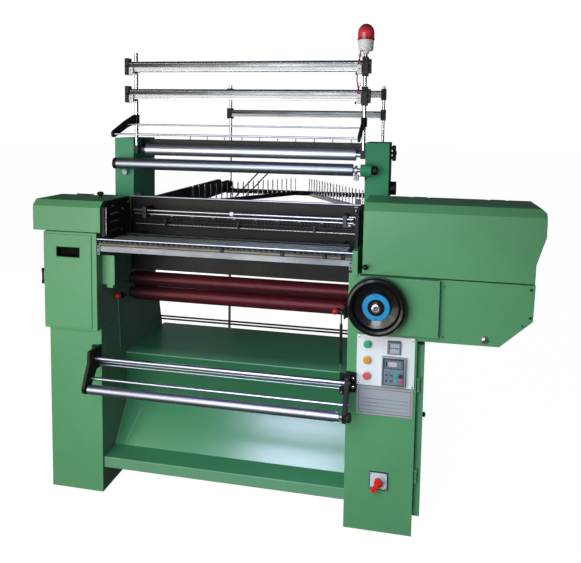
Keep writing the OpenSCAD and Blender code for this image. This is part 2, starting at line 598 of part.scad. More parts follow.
// Two inclined stays that stand on the left leg of the V
module creel_stays() place(black) difference() {
  for (k = [7.5, 9.6]) let (t = (k + 0.9) / (pin_n + 0.4), p = va + (vb - va) * t)
    rod([p[0] - 13, p[1], v_z - 13], [p[0] + 149, p[1], 1178], 3.5);
  bx(xl, xr, 1050, 1300, v_z - 60, v_z);
}

// ---- fasteners ------------------------------------------------------------------
module screws() place(steel) {
  for (p = [[xr + 584, 898], [xr + 584, 806], [xr + 562, 778], [xr1 + 80, 890], [xr1 + 80, 720]]) cy(-hood_y - 3, -hood_y, p[0], p[1], 4.5);
  cy(-hood_y - 5, -hood_y, xr + 447, 723, 12);
  cy(-hood_y - 9, -hood_y - 5, xr + 447, 723, 7.5, $fn = 6);
  // bolts of the batching brackets
  for (p = [[xl - 24, 556], [xl - 24, 528], [xr + 24, 548], [xr + 24, 518]]) cy(-16, -12, p[0], p[1], 6);
  // name plate rivets and control plate screws
  for (x = [xr + 42, xr + 221], z = [427, 515]) cy(-3.2, -2, x, z, 2.5);
  for (x = [xr + 41, xr + 222], z = [533, 695]) cy(-5.6, -4, x, z, 3.2);
  for (x = [sw_x - 25, sw_x + 25], z = [163, 213]) cy(-6.4, -5, x, z, 2.6);
}

left_leg();
left_case();
head_plates();
right_leg();
right_case();
wheel_panel();
right_side_plate();
control_plate();
panel_units();
blank_nameplate();
switch_plate();
fabric_tray();
back_beam();
left_post();
right_post();
front_rods();
stop_rails();
rail_clamps();
guide_arms();
guide_rods();
beacon_base();
beacon_dome();
wiring();
creel_uprights();
creel_rails();
creel_stays();
creel_pins();
needle_bed();
front_bars();
bearing_blocks();
batch_brackets();
motor();
belt();
screws();
post_fittings();
handwheel();
wheel_ring();
wheel_hub();
motor_pulley();
cam_shaft();
right_cover();
left_cover();
left_door();
cabinet_door();
button_green();
button_orange();
button_red();
switch_knob();
feed_roller_upper();
feed_roller_lower();
takedown_roller_upper();
takedown_roller_lower();
batch_roller();
ball_lever_left();
ball_lever_right();
link_rod_left();
link_rod_right();
needle_bar();
weft_bar_upper();
weft_bar_lower();
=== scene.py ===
import bpy, bmesh, math, random
from mathutils import Vector, Matrix, Quaternion


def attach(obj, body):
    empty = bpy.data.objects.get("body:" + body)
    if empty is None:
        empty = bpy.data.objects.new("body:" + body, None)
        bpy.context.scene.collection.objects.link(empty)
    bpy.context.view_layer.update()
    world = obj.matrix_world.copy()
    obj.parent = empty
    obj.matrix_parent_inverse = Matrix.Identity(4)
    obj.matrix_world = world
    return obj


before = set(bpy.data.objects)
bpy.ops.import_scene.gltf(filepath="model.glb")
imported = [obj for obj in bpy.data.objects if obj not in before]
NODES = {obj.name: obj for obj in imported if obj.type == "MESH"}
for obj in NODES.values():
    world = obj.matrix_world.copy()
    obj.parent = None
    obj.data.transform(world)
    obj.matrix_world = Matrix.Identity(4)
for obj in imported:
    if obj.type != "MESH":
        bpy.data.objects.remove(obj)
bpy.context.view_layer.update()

scene = bpy.context.scene
random.seed(11)

# The shapes below are written in millimetres from the front of the legs; P gives metres in the row frame.
def P(x, y, z):
    return Vector(((x - 4.0) / 1000.0, (y - 729.0) / 1000.0, z / 1000.0))

xl, xr, xl0, xr1 = -640.0, 281.0, -853.0, 517.0
wx, wz = xr + 99.5, 820.0

# ------------------------------------------------------------------ camera
RIGHT = Vector((0.978978661089635, 0.20340149382152795, 0.015119968330537088))
DOWN = Vector((0.03238710732788894, -0.0818331700096711, -0.9961196753227496))
AHEAD = Vector((-0.201374915046729, 0.9756695980696227, -0.08670051321983904))
cam_data = bpy.data.cameras.new("camera")
cam = bpy.data.objects.new("camera", cam_data)
scene.collection.objects.link(cam)
m = Matrix.Identity(4)
m.col[0][:3], m.col[1][:3], m.col[2][:3], m.col[3][:3] = RIGHT, -DOWN, -AHEAD, P(500, -2069, 1409.5)
cam.matrix_world = m
cam_data.sensor_width = 36.0
cam_data.lens = 618.973 / 581.0 * 36.0
cam_data.shift_x = 0.0
cam_data.shift_y = (178.884 - 281.5) / 581.0
cam_data.clip_start, cam_data.clip_end = 0.05, 200.0
scene.camera = cam


# ------------------------------------------------------------------ materials
def srgb(r, g, b):
    f = lambda c: c / 12.92 if c <= 0.04045 else ((c + 0.055) / 1.055) ** 2.4
    return (f(r / 255.0), f(g / 255.0), f(b / 255.0), 1.0)


def shade(c, k):
    return (min(1, c[0] * k), min(1, c[1] * k), min(1, c[2] * k), 1.0)


class Mat:
    """Node helper: object coordinates in metres, everything else built from noise, waves and masks."""

    def __init__(s, name):
        s.m = bpy.data.materials.new(name)
        s.m.use_nodes = True
        s.nt = s.m.node_tree
        s.b = s.nt.nodes["Principled BSDF"]
        s.co = s.nt.nodes.new("ShaderNodeTexCoord").outputs["Object"]
        s._xyz = None

    def new(s, kind, **kw):
        n = s.nt.nodes.new(kind)
        for k, v in kw.items():
            setattr(n, k, v)
        return n

    def put(s, socket, value):
        if hasattr(value, "is_linked") or hasattr(value, "links"):
            s.nt.links.new(value, socket)
        else:
            socket.default_value = value

    def noise(s, scale, detail=3.0, rough=0.55, stretch=(1, 1, 1), offset=(0, 0, 0)):
        mp = s.new("ShaderNodeMapping")
        mp.inputs["Scale"].default_value = stretch
        mp.inputs["Location"].default_value = offset
        s.nt.links.new(s.co, mp.inputs["Vector"])
        n = s.new("ShaderNodeTexNoise")
        n.inputs["Scale"].default_value = scale
        n.inputs["Detail"].default_value = detail
        n.inputs["Roughness"].default_value = rough
        s.nt.links.new(mp.outputs[0], n.inputs["Vector"])
        return n.outputs["Fac"]

    def span(s, fac, a0, a1, b0, b1, smooth=False):
        n = s.new("ShaderNodeMapRange")
        n.interpolation_type = "SMOOTHSTEP" if smooth else "LINEAR"
        s.put(n.inputs["Value"], fac)
        for k, v in (("From Min", a0), ("From Max", a1), ("To Min", b0), ("To Max", b1)):
            n.inputs[k].default_value = v
        return n.outputs["Result"]

    def mix(s, fac, a, b):
        n = s.new("ShaderNodeMix", data_type="RGBA")
        s.put(n.inputs["Factor"], fac)
        s.put(n.inputs[6], a)
        s.put(n.inputs[7], b)
        return n.outputs[2]

    def op(s, kind, a, b=0.0, clamp=False):
        n = s.new("ShaderNodeMath", operation=kind)
        n.use_clamp = clamp
        s.put(n.inputs[0], a)
        s.put(n.inputs[1], b)
        return n.outputs[0]

    def axis(s, i):
        if s._xyz is None:
            n = s.new("ShaderNodeSeparateXYZ")
            s.nt.links.new(s.co, n.inputs[0])
            s._xyz = n.outputs
        return s._xyz[i]

    def over(s, i, value, width=0.0006):
        """1 where coordinate i is above value (metres)."""
        return s.span(s.axis(i), value - width, value + width, 0.0, 1.0)

    def between(s, i, a, b):
        return s.op("MULTIPLY", s.over(i, a), s.op("SUBTRACT", 1.0, s.over(i, b)))

    def ball(s, centre, radius):
        n = s.new("ShaderNodeVectorMath", operation="DISTANCE")
        s.nt.links.new(s.co, n.inputs[0])
        n.inputs[1].default_value = centre
        return s.span(n.outputs["Value"], radius - 0.0002, radius + 0.0006, 1.0, 0.0)

    def edge(s, radius=0.003, samples=4):
        """(rounded normal, mask that is 1 at edges)"""
        bv = s.new("ShaderNodeBevel")
        bv.samples = samples
        bv.inputs["Radius"].default_value = radius
        g = s.new("ShaderNodeNewGeometry")
        d = s.new("ShaderNodeVectorMath", operation="DOT_PRODUCT")
        s.nt.links.new(bv.outputs[0], d.inputs[0])
        s.nt.links.new(g.outputs["Normal"], d.inputs[1])
        return bv.outputs[0], s.span(d.outputs["Value"], 0.80, 0.985, 1.0, 0.0, True)

    def bump(s, height, strength, distance=0.0005, normal=None):
        n = s.new("ShaderNodeBump")
        n.inputs["Strength"].default_value = strength
        n.inputs["Distance"].default_value = distance
        s.put(n.inputs["Height"], height)
        if normal is not None:
            s.nt.links.new(normal, n.inputs["Normal"])
        s.nt.links.new(n.outputs[0], s.b.inputs["Normal"])

    def colour(s, v):
        s.put(s.b.inputs["Base Color"], v)

    def rough(s, v):
        s.put(s.b.inputs["Roughness"], v)

    def metal(s, v):
        s.put(s.b.inputs["Metallic"], v)


def paint(name, rgb, rough=0.36, var=0.07, wear_and_edge_highlight=0.35, spec=0.28, peel=0.10, extra=None, soil=0.12, uneven=0.05):
    """Sprayed enamel on sheet: slow tone drift, fine orange peel, lighter edges that are partly rubbed wear and partly
    a painted highlight, faint dirt.
    """
    q = Mat(name)
    c = srgb(*rgb)
    slow = q.noise(2.3, 3.0, 0.5)
    fine = q.noise(38.0, 4.0, 0.6)
    base = q.mix(q.span(slow, 0.3, 0.7, 0.0, 1.0), shade(c, 1 - var), shade(c, 1 + var))
    base = q.mix(q.span(fine, 0.35, 0.75, 0.0, 0.16), base, shade(c, 1.18))
    grime = q.op("MULTIPLY", q.span(q.noise(6.5, 6.0, 0.68, offset=(3, 7, 1)), 0.55, 0.78, 0.0, 1.0), soil)
    base = q.mix(grime, base, shade(c, 0.45))
    nrm, e = q.edge(0.0032)
    # Edges are lightened: partly rubbed wear, partly a painted highlight along the folds.
    chips_and_edge_highlight = q.op("MULTIPLY", e, q.span(q.noise(120.0, 3.0, 0.7), 0.40, 0.62, 0.1, 1.0))
    base = q.mix(q.op("MULTIPLY", chips_and_edge_highlight, wear_and_edge_highlight), base, shade(c, 1.9))
    ro = q.span(q.noise(14.0, 5.0, 0.6, offset=(1, 2, 3)), 0.3, 0.7, rough - uneven, rough + uneven)
    q.b.inputs["Specular IOR Level"].default_value = spec
    if extra:
        base, ro = extra(q, base, ro)
    q.colour(base)
    q.rough(ro)
    q.bump(q.noise(620.0, 2.0, 0.5), peel, 0.0004, nrm)
    return q.m


def metal(name, rgb, rough=0.18, brush=(1, 1, 1), scale=400.0, spread=0.10, stain=0.15, grain=0.05, extra=None, met=1.0):
    """Bare or plated metal: brushed or turned grain, stains, uneven polish."""
    q = Mat(name)
    c = srgb(*rgb)
    grainy = q.noise(scale, 4.0, 0.65, stretch=brush)
    slow = q.noise(5.0, 4.0, 0.6)
    base = q.mix(q.span(slow, 0.35, 0.7, 0.0, stain * 2), c, shade(c, 0.62))
    base = q.mix(q.span(grainy, 0.4, 0.7, 0.0, 0.22), base, shade(c, 1.15))
    ro = q.op("ADD", q.span(grainy, 0.3, 0.7, rough - spread * 0.5, rough + spread), q.span(slow, 0.4, 0.75, 0.0, spread))
    if extra:
        base, ro = extra(q, base, ro)
    else:
        q.b.inputs["Metallic"].default_value = met
    q.colour(base)
    q.rough(ro)
    q.bump(grainy, grain, 0.0002)
    return q.m


def plastic(name, rgb, rough=0.36, grain=0.10, scale=900.0, var=0.10, coat=0.0, extra=None, spec=0.5):
    q = Mat(name)
    q.b.inputs["Specular IOR Level"].default_value = spec
    c = srgb(*rgb)
    slow = q.noise(22.0, 4.0, 0.6)
    base = q.mix(q.span(slow, 0.3, 0.7, 0.0, 1.0), shade(c, 1 - var), shade(c, 1 + var))
    ro = q.span(q.noise(70.0, 4.0, 0.6), 0.3, 0.7, rough - 0.07, rough + 0.08)
    if extra:
        base, ro = extra(q, base, ro)
    q.colour(base)
    q.rough(ro)
    if coat:
        q.b.inputs["Coat Weight"].default_value = coat
        q.b.inputs["Coat Roughness"].default_value = 0.08
    nrm, e = q.edge(0.0012)
    q.bump(q.noise(scale, 2.0, 0.5), grain, 0.0003, nrm)
    return q.m


GREEN = (95, 160, 114)
DARKGREEN = (72, 146, 104)
BLACK = (14, 15, 16)


def knob_on(i, value, above):
    """Black moulded knob where coordinate i passes value (metres)."""
    def f(q, base, ro):
        k = q.over(i, value, 0.0003)
        if not above:
            k = q.op("SUBTRACT", 1.0, k)
        return q.mix(k, base, srgb(20, 20, 21)), ro
    return f


def red_ball(centre, radius):
    def f(q, base, ro):
        k = q.ball(P(*centre), radius / 1000.0)
        return q.mix(k, base, srgb(214, 46, 50)), ro
    return f



def inner_wall_painted_shade(q, base, ro):
    """Painted shade: the inner face of the left column is greyed towards a dull tone where it stands in shade."""
    k = q.between(0, P(xl - 0.6, 0, 0).x, P(xl + 0.6, 0, 0).x)
    return q.mix(q.op("MULTIPLY", k, 0.72), base, srgb(112, 124, 120)), ro


green = paint("green_enamel", GREEN)
green_l_leg = paint("green_enamel_left_leg", GREEN, extra=inner_wall_painted_shade)
green_r_hood = paint("green_enamel_right_hood", GREEN, extra=knob_on(1, P(0, -20.3, 0).y, False))
green_l_hood = paint("green_enamel_left_hood", GREEN, extra=knob_on(2, 1.1214, True))
green_door = paint("green_enamel_cabinet", GREEN, extra=knob_on(0, P(xr1 + 25.2, 0, 0).x, True))
# Darker copies of the green enamel for the two posts, as painted shade.
post_green_painted_shade = paint("green_enamel_posts", (60, 143, 105), rough=0.50, spec=0.10)
post_left_painted_shade = paint("green_enamel_left_post", (78, 154, 120), rough=0.48, spec=0.16)


def deck_painted_shade_and_highlight(q, base, ro):
    """Painted shade darkens the deck and the upright behind the rods; a painted highlight lightens the fold along the
    deck's front edge, and painted light lightens the lip's front face.
    """
    # Painted shade: darker above the scoop, on the upright and the deck.
    k = q.span(q.axis(2), 0.276, 0.300, 0.0, 0.36, True)
    base = q.mix(k, base, srgb(20, 62, 44))
    # Painted highlight along the deck's front fold.
    near = q.op("MULTIPLY", q.over(2, 0.4784, 0.0008), q.span(q.axis(1), P(0, 196, 0).y, P(0, 285, 0).y, 0.70, 0.0, True))
    base = q.mix(near, base, srgb(108, 184, 140))
    # Painted light on the lip's front face.
    lip = q.op("MULTIPLY", q.op("SUBTRACT", 1.0, q.over(1, P(0, 9.4, 0).y, 0.0003)), 0.5)
    return q.mix(lip, base, srgb(132, 180, 150)), ro


green_tray = paint("green_enamel_tray", DARKGREEN, rough=0.215, var=0.05, wear_and_edge_highlight=0.04, soil=0.02, spec=0.72, uneven=0.01, extra=deck_painted_shade_and_highlight)
black_paint = paint("black_enamel", BLACK, rough=0.48, var=0.18, wear_and_edge_highlight=0.10, soil=0.14, spec=0.26)
lever_l = paint("lever_left_enamel", BLACK, rough=0.3, wear_and_edge_highlight=0.0, extra=red_ball((xl + 14, 104, 739), 13.0))
lever_r = paint("lever_right_enamel", BLACK, rough=0.3, wear_and_edge_highlight=0.0, extra=red_ball((xr - 58, 104, 742), 12.0))
motor_paint = paint("motor_enamel", (74, 86, 98), rough=0.42)

chrome_x = metal("chrome_turned_x", (178, 186, 202), 0.30, (0.03, 1.0, 1.0), 120.0, 0.05, 0.06, 0.012)
chrome_feed = metal("chrome_feed_roller", (206, 215, 229), 0.42, (0.03, 1.0, 1.0), 120.0, 0.05, 0.06, 0.012)
chrome_z = metal("chrome_turned_z", (214, 218, 226), 0.18, (1.0, 1.0, 0.03), 260.0, 0.08, 0.10)
chrome_small = metal("chrome_small_parts", (224, 226, 230), 0.20, (1, 1, 1), 300.0, 0.10, 0.12)
steel = metal("ground_steel", (190, 194, 198), 0.30, (1.0, 0.06, 1.0), 260.0, 0.12, 0.22)


def shank_painted_light_bands(q, base, ro):
    """Bright and dark bands that run slantwise across the row of shanks: painted highlight and painted shade."""
    w = q.new("ShaderNodeTexWave", wave_type="BANDS", bands_direction="Y")
    w.inputs["Scale"].default_value = 14.0
    w.inputs["Distortion"].default_value = 1.2
    w.inputs["Detail"].default_value = 1.0
    sep = q.new("ShaderNodeCombineXYZ")
    q.put(sep.inputs[0], 0.0)
    q.put(sep.inputs[1], q.op("ADD", q.axis(1), q.op("MULTIPLY", q.axis(0), 0.09)))
    q.put(sep.inputs[2], 0.0)
    q.nt.links.new(sep.outputs[0], w.inputs["Vector"])
    q.b.inputs["Metallic"].default_value = 1.0
    k = q.span(w.outputs["Fac"], 0.42, 0.64, 0.0, 1.0, True)
    return q.mix(k, srgb(12, 16, 15), base), ro


needle_steel = metal("needle_steel", (66, 76, 73), 0.46, (1.0, 0.03, 1.0), 500.0, 0.12, 0.20, extra=shank_painted_light_bands)
wire_steel = metal("wire_steel", (126, 138, 134), 0.34, (0.03, 1.0, 1.0), 120.0, 0.05, 0.10, 0.012)
sinker_steel = metal("sinker_steel", (112, 108, 96), 0.42, (0.06, 1.0, 1.0), 60.0, 0.12, 0.42, 0.05)
chrome_batch = metal("chrome_batch_roller", (150, 155, 170), 0.40, (0.03, 1.0, 1.0), 120.0, 0.05, 0.06, 0.012)
chrome_low = metal("chrome_feed_lower", (146, 153, 166), 0.36, (0.03, 1.0, 1.0), 120.0, 0.05, 0.06, 0.012)
flat_bar_steel = metal("flat_bar_steel", (140, 145, 150), 0.44, (0.06, 1.0, 1.0), 60.0, 0.12, 0.42, 0.05)


def dark_tops(q, base, ro):
    """The upper flange of each rail is blackened."""
    k = None
    for z in (1.612, 1.504, 1.572, 1.455):
        b = q.between(2, z + 0.0335, z + 0.041)
        k = b if k is None else q.op("MAXIMUM", k, b)
    q.b.inputs["Metallic"].default_value = 1.0
    return q.mix(k, base, srgb(44, 46, 50)), q.op("ADD", ro, q.op("MULTIPLY", k, 0.1))


def strip_fade(q, base, ro):
    """Shaded at the left end, brighter to the right, with faint drawn streaks."""
    k = q.span(q.axis(0), P(xl, 0, 0).x, P(xr - 250, 0, 0).x, 0.0, 1.0, True)
    streak = q.noise(16.0, 2.0, 0.5, stretch=(0.5, 1.0, 1.0))
    q.b.inputs["Metallic"].default_value = 0.35
    return q.mix(q.op("MULTIPLY", k, q.span(streak, 0.3, 0.65, 0.45, 1.0)), srgb(38, 42, 48), base), ro


alu = metal("rail_aluminium", (186, 189, 195), 0.42, (0.04, 1.0, 1.0), 40.0, 0.08, 0.14, 0.01, extra=dark_tops)
strip_dark = metal("strip_upper", (212, 220, 230), 0.44, (0.04, 1.0, 1.0), 40.0, 0.08, 0.10, 0.01, extra=strip_fade)
strip_pale = metal("strip_lower", (222, 225, 230), 0.50, (0.04, 1.0, 1.0), 40.0, 0.08, 0.06, 0.005, met=0.3)
dark_steel = metal("oiled_steel", (66, 70, 72), 0.40, (1.0, 0.05, 1.0), 240.0, 0.14, 0.30)


def roller_ends(q, base, ro):
    """Bare journals at both ends of a covered roller; the left part is darkened as painted shade."""
    # Painted shade: darkens the left part of the roller.
    base = q.mix(q.span(q.axis(0), P(xl + 20, 0, 0).x, P(xl + 330, 0, 0).x, 0.72, 0.0, True), base, srgb(24, 16, 18))
    core = q.between(0, P(xl + 18.3, 0, 0).x, P(xr - 19.3, 0, 0).x)
    q.metal(q.op("SUBTRACT", 1.0, core))
    return q.mix(core, srgb(190, 192, 194), base), ro


red_rubber = plastic("red_rubber", (74, 20, 30), 0.42, 0.16, 700.0, 0.16, extra=roller_ends, spec=0.5)
red_rubber.node_tree.nodes["Principled BSDF"].inputs["Specular Tint"].default_value = (1.0, 0.42, 0.46, 1.0)


def hanger_parts(q, base, ro):
    """Bright hook below the black sleeve."""
    k = q.op("SUBTRACT", 1.0, q.over(2, 0.5405))
    q.metal(k)
    return q.mix(k, base, srgb(210, 212, 216)), ro


hanger = plastic("hanger_sleeve", (24, 25, 26), 0.34, 0.08, extra=hanger_parts)


def bar_set(q, base, ro):
    """Bright front bars; the thin rods behind the rollers are coloured near-black."""
    k = q.op("MULTIPLY", q.over(1, P(0, 150, 0).y), q.op("SUBTRACT", 1.0, q.over(2, 0.9)))
    q.b.inputs["Metallic"].default_value = 1.0
    return q.mix(k, base, srgb(40, 42, 44)), q.op("ADD", ro, q.op("MULTIPLY", k, 0.22))


def clip_mark(q, base, ro):
    k = q.between(0, P(xl + 439.6, 0, 0).x, P(xl + 452.4, 0, 0).x)
    q.metal(q.op("SUBTRACT", 1.0, k))
    return q.mix(k, base, srgb(236, 237, 238)), ro


def hook_dark(q, base, ro):
    """Blackened hooks under the bright bar."""
    k = q.op("SUBTRACT", 1.0, q.over(2, 1.0448, 0.0004))
    q.b.inputs["Metallic"].default_value = 1.0
    return q.mix(k, base, srgb(38, 40, 42)), q.op("ADD", ro, q.op("MULTIPLY", k, 0.25))


def green_screws(q, base, ro):
    """Screws of the drive case are painted over; the large bolt, the plates' rivets and the bracket bolts stay bright."""
    far = q.over(0, P(xr + 300, 0, 0).x)
    big = q.ball(P(xr + 447, -25, 723), 0.020)
    k = q.op("MULTIPLY", far, q.op("SUBTRACT", 1.0, big))
    q.metal(q.op("SUBTRACT", 1.0, k))
    return q.mix(k, base, srgb(66, 122, 88)), q.op("ADD", ro, q.op("MULTIPLY", k, 0.15))


def dark_hinge(q, base, ro):
    k = q.op("SUBTRACT", 1.0, q.over(0, P(xl0 - 0.6, 0, 0).x, 0.0003))
    # Adds the painted shade on the inner face of the column.
    base, ro = inner_wall_painted_shade(q, base, ro)
    return q.mix(k, base, srgb(24, 25, 26)), ro


weft_low = metal("chrome_weft_bar_lower", (160, 166, 174), 0.22, (0.03, 1.0, 1.0), 120.0, 0.05, 0.10, extra=hook_dark)
screw_mix = metal("screw_steel", (200, 203, 206), 0.26, (1, 1, 1), 300.0, 0.10, 0.2, extra=green_screws)
green_hinge = paint("green_enamel_left_case", GREEN, extra=dark_hinge)
weft_chrome = metal("chrome_weft_bar", (160, 166, 174), 0.22, (0.03, 1.0, 1.0), 120.0, 0.05, 0.10, extra=clip_mark)
bar_chrome = metal("chrome_front_bars", (158, 165, 180), 0.30, (0.03, 1.0, 1.0), 120.0, 0.05, 0.06, 0.012, extra=bar_set)
black_plastic = plastic("black_plastic", (17, 18, 19), 0.46, 0.10, spec=0.25)
wheel_black = plastic("wheel_black", (13, 12, 13), 0.38, 0.01, 500.0, 0.12, coat=0.42, spec=0.16)
ring_blue = plastic("ring_blue", (22, 146, 204), 0.30, 0.05)
belt_rubber = plastic("belt_rubber", (26, 26, 27), 0.60, 0.30, 500.0)
panel_white = paint("panel_white", (238, 243, 252), rough=0.38, var=0.04, wear_and_edge_highlight=0.0, soil=0.10)
unit_grey = plastic(
    "unit_grey", (92, 104, 124), 0.38, 0.10,
    extra=lambda q, base, ro: (q.mix(q.over(0, P(xr + 100, 0, 0).x), srgb(216, 219, 222), base), ro))
plate_grey = paint("plate_aluminium", (172, 178, 188), rough=0.36, var=0.05, wear_and_edge_highlight=0.0, soil=0.10)
switch_grey = paint("switch_plate_enamel", (208, 214, 228), rough=0.4, var=0.05, wear_and_edge_highlight=0.0, soil=0.08)
lamp_white = plastic("lamp_white", (246, 247, 252), 0.46, 0.03, var=0.04)
wire_red = plastic("wire_red", (176, 40, 44), 0.40, 0.05)
wire_black = plastic("wire_black", (30, 30, 32), 0.42, 0.05)
green_button = plastic("button_green", (46, 176, 128), 0.30, 0.03)
orange_button = plastic("button_orange", (246, 166, 52), 0.30, 0.03)
red_button = plastic("button_red", (238, 92, 104), 0.30, 0.03)
knob_red = plastic("knob_red", (232, 32, 30), 0.30, 0.04)
clip_white = plastic("clip_white", (184, 190, 197), 0.40, 0.06)
rail_clip = plastic("rail_clip_white", (226, 230, 238), 0.42, 0.05)
bar_clip = plastic("bar_clip_grey", (132, 140, 142), 0.40, 0.06)


def lamp():
    """Clear red moulding, deep red at the rim and top; the bright middle band is a painted glow and the light streaks
    on the upright ribs are painted highlights.
    """
    q = Mat("lamp_red")
    z = q.span(q.axis(2), 1.730, 1.790, 0.0, 1.0)
    # Painted glow: the middle band is lightened.
    mid = q.mix(q.span(z, 0.06, 0.22, 0.0, 1.0, True), srgb(150, 20, 34), srgb(244, 62, 76))
    top = q.mix(q.span(z, 0.50, 0.92, 0.0, 1.0, True), mid, srgb(122, 22, 36))
    rib = q.new("ShaderNodeTexGradient", gradient_type="RADIAL")
    mp = q.new("ShaderNodeMapping")
    mp.inputs["Location"].default_value = (-(P(xr + 13, 287, 0).x), -(P(xr + 13, 287, 0).y), 0)
    q.nt.links.new(q.co, mp.inputs["Vector"])
    q.nt.links.new(mp.outputs[0], rib.inputs["Vector"])
    saw = q.op("PINGPONG", q.op("MULTIPLY", rib.outputs["Fac"], 56.0), 1.0)
    # Painted highlights on the upright ribs.
    q.colour(q.mix(q.span(saw, 0.55, 1.0, 0.0, 0.22, True), top, srgb(250, 150, 160)))
    q.rough(q.span(q.noise(60.0), 0.3, 0.7, 0.14, 0.22))
    q.b.inputs["Subsurface Weight"].default_value = 0.25
    q.b.inputs["Subsurface Radius"].default_value = (0.02, 0.003, 0.003)
    q.b.inputs["Coat Weight"].default_value = 0.6
    q.b.inputs["Coat Roughness"].default_value = 0.06
    q.bump(saw, 0.10, 0.0006)
    return q.m


lamp_red = lamp()

LOOK = dict(
    left_leg=green_l_leg, left_case=green_hinge, head_plates=black_paint, right_leg=green, right_case=green, wheel_panel=green,
    right_side_plate=green, control_plate=panel_white, panel_units=unit_grey, blank_nameplate=plate_grey,
    switch_plate=switch_grey, fabric_tray=green_tray, back_beam=black_paint, left_post=post_left_painted_shade, right_post=post_green_painted_shade,
    front_rods=chrome_z, stop_rails=alu, rail_clamps=black_plastic, guide_arms=black_paint, guide_rods=chrome_x,
    beacon_base=lamp_white, beacon_dome=lamp_red, wiring=wire_red, creel_uprights=chrome_z, creel_rails=black_paint,
    creel_stays=black_paint, creel_pins=chrome_z, needle_bed=dark_steel, front_bars=bar_chrome, bearing_blocks=dark_steel,
    batch_brackets=black_paint, motor=motor_paint, belt=belt_rubber, screws=screw_mix, post_fittings=black_plastic,
    handwheel=wheel_black, wheel_ring=ring_blue, wheel_hub=chrome_small, motor_pulley=steel, cam_shaft=steel,
    right_cover=green_r_hood, left_cover=green_l_hood, left_door=green_hinge, cabinet_door=green_door,
    button_green=green_button, button_orange=orange_button, button_red=red_button, switch_knob=knob_red,
    feed_roller_upper=chrome_feed, feed_roller_lower=chrome_low, takedown_roller_upper=red_rubber,
    takedown_roller_lower=red_rubber, batch_roller=chrome_batch, ball_lever_left=lever_l, ball_lever_right=lever_r,
    link_rod_left=steel, link_rod_right=hanger, needle_bar=dark_steel, weft_bar_upper=weft_chrome,
    weft_bar_lower=weft_low)
for name, o in NODES.items():
    for s in o.material_slots:
        s.material = LOOK[name]


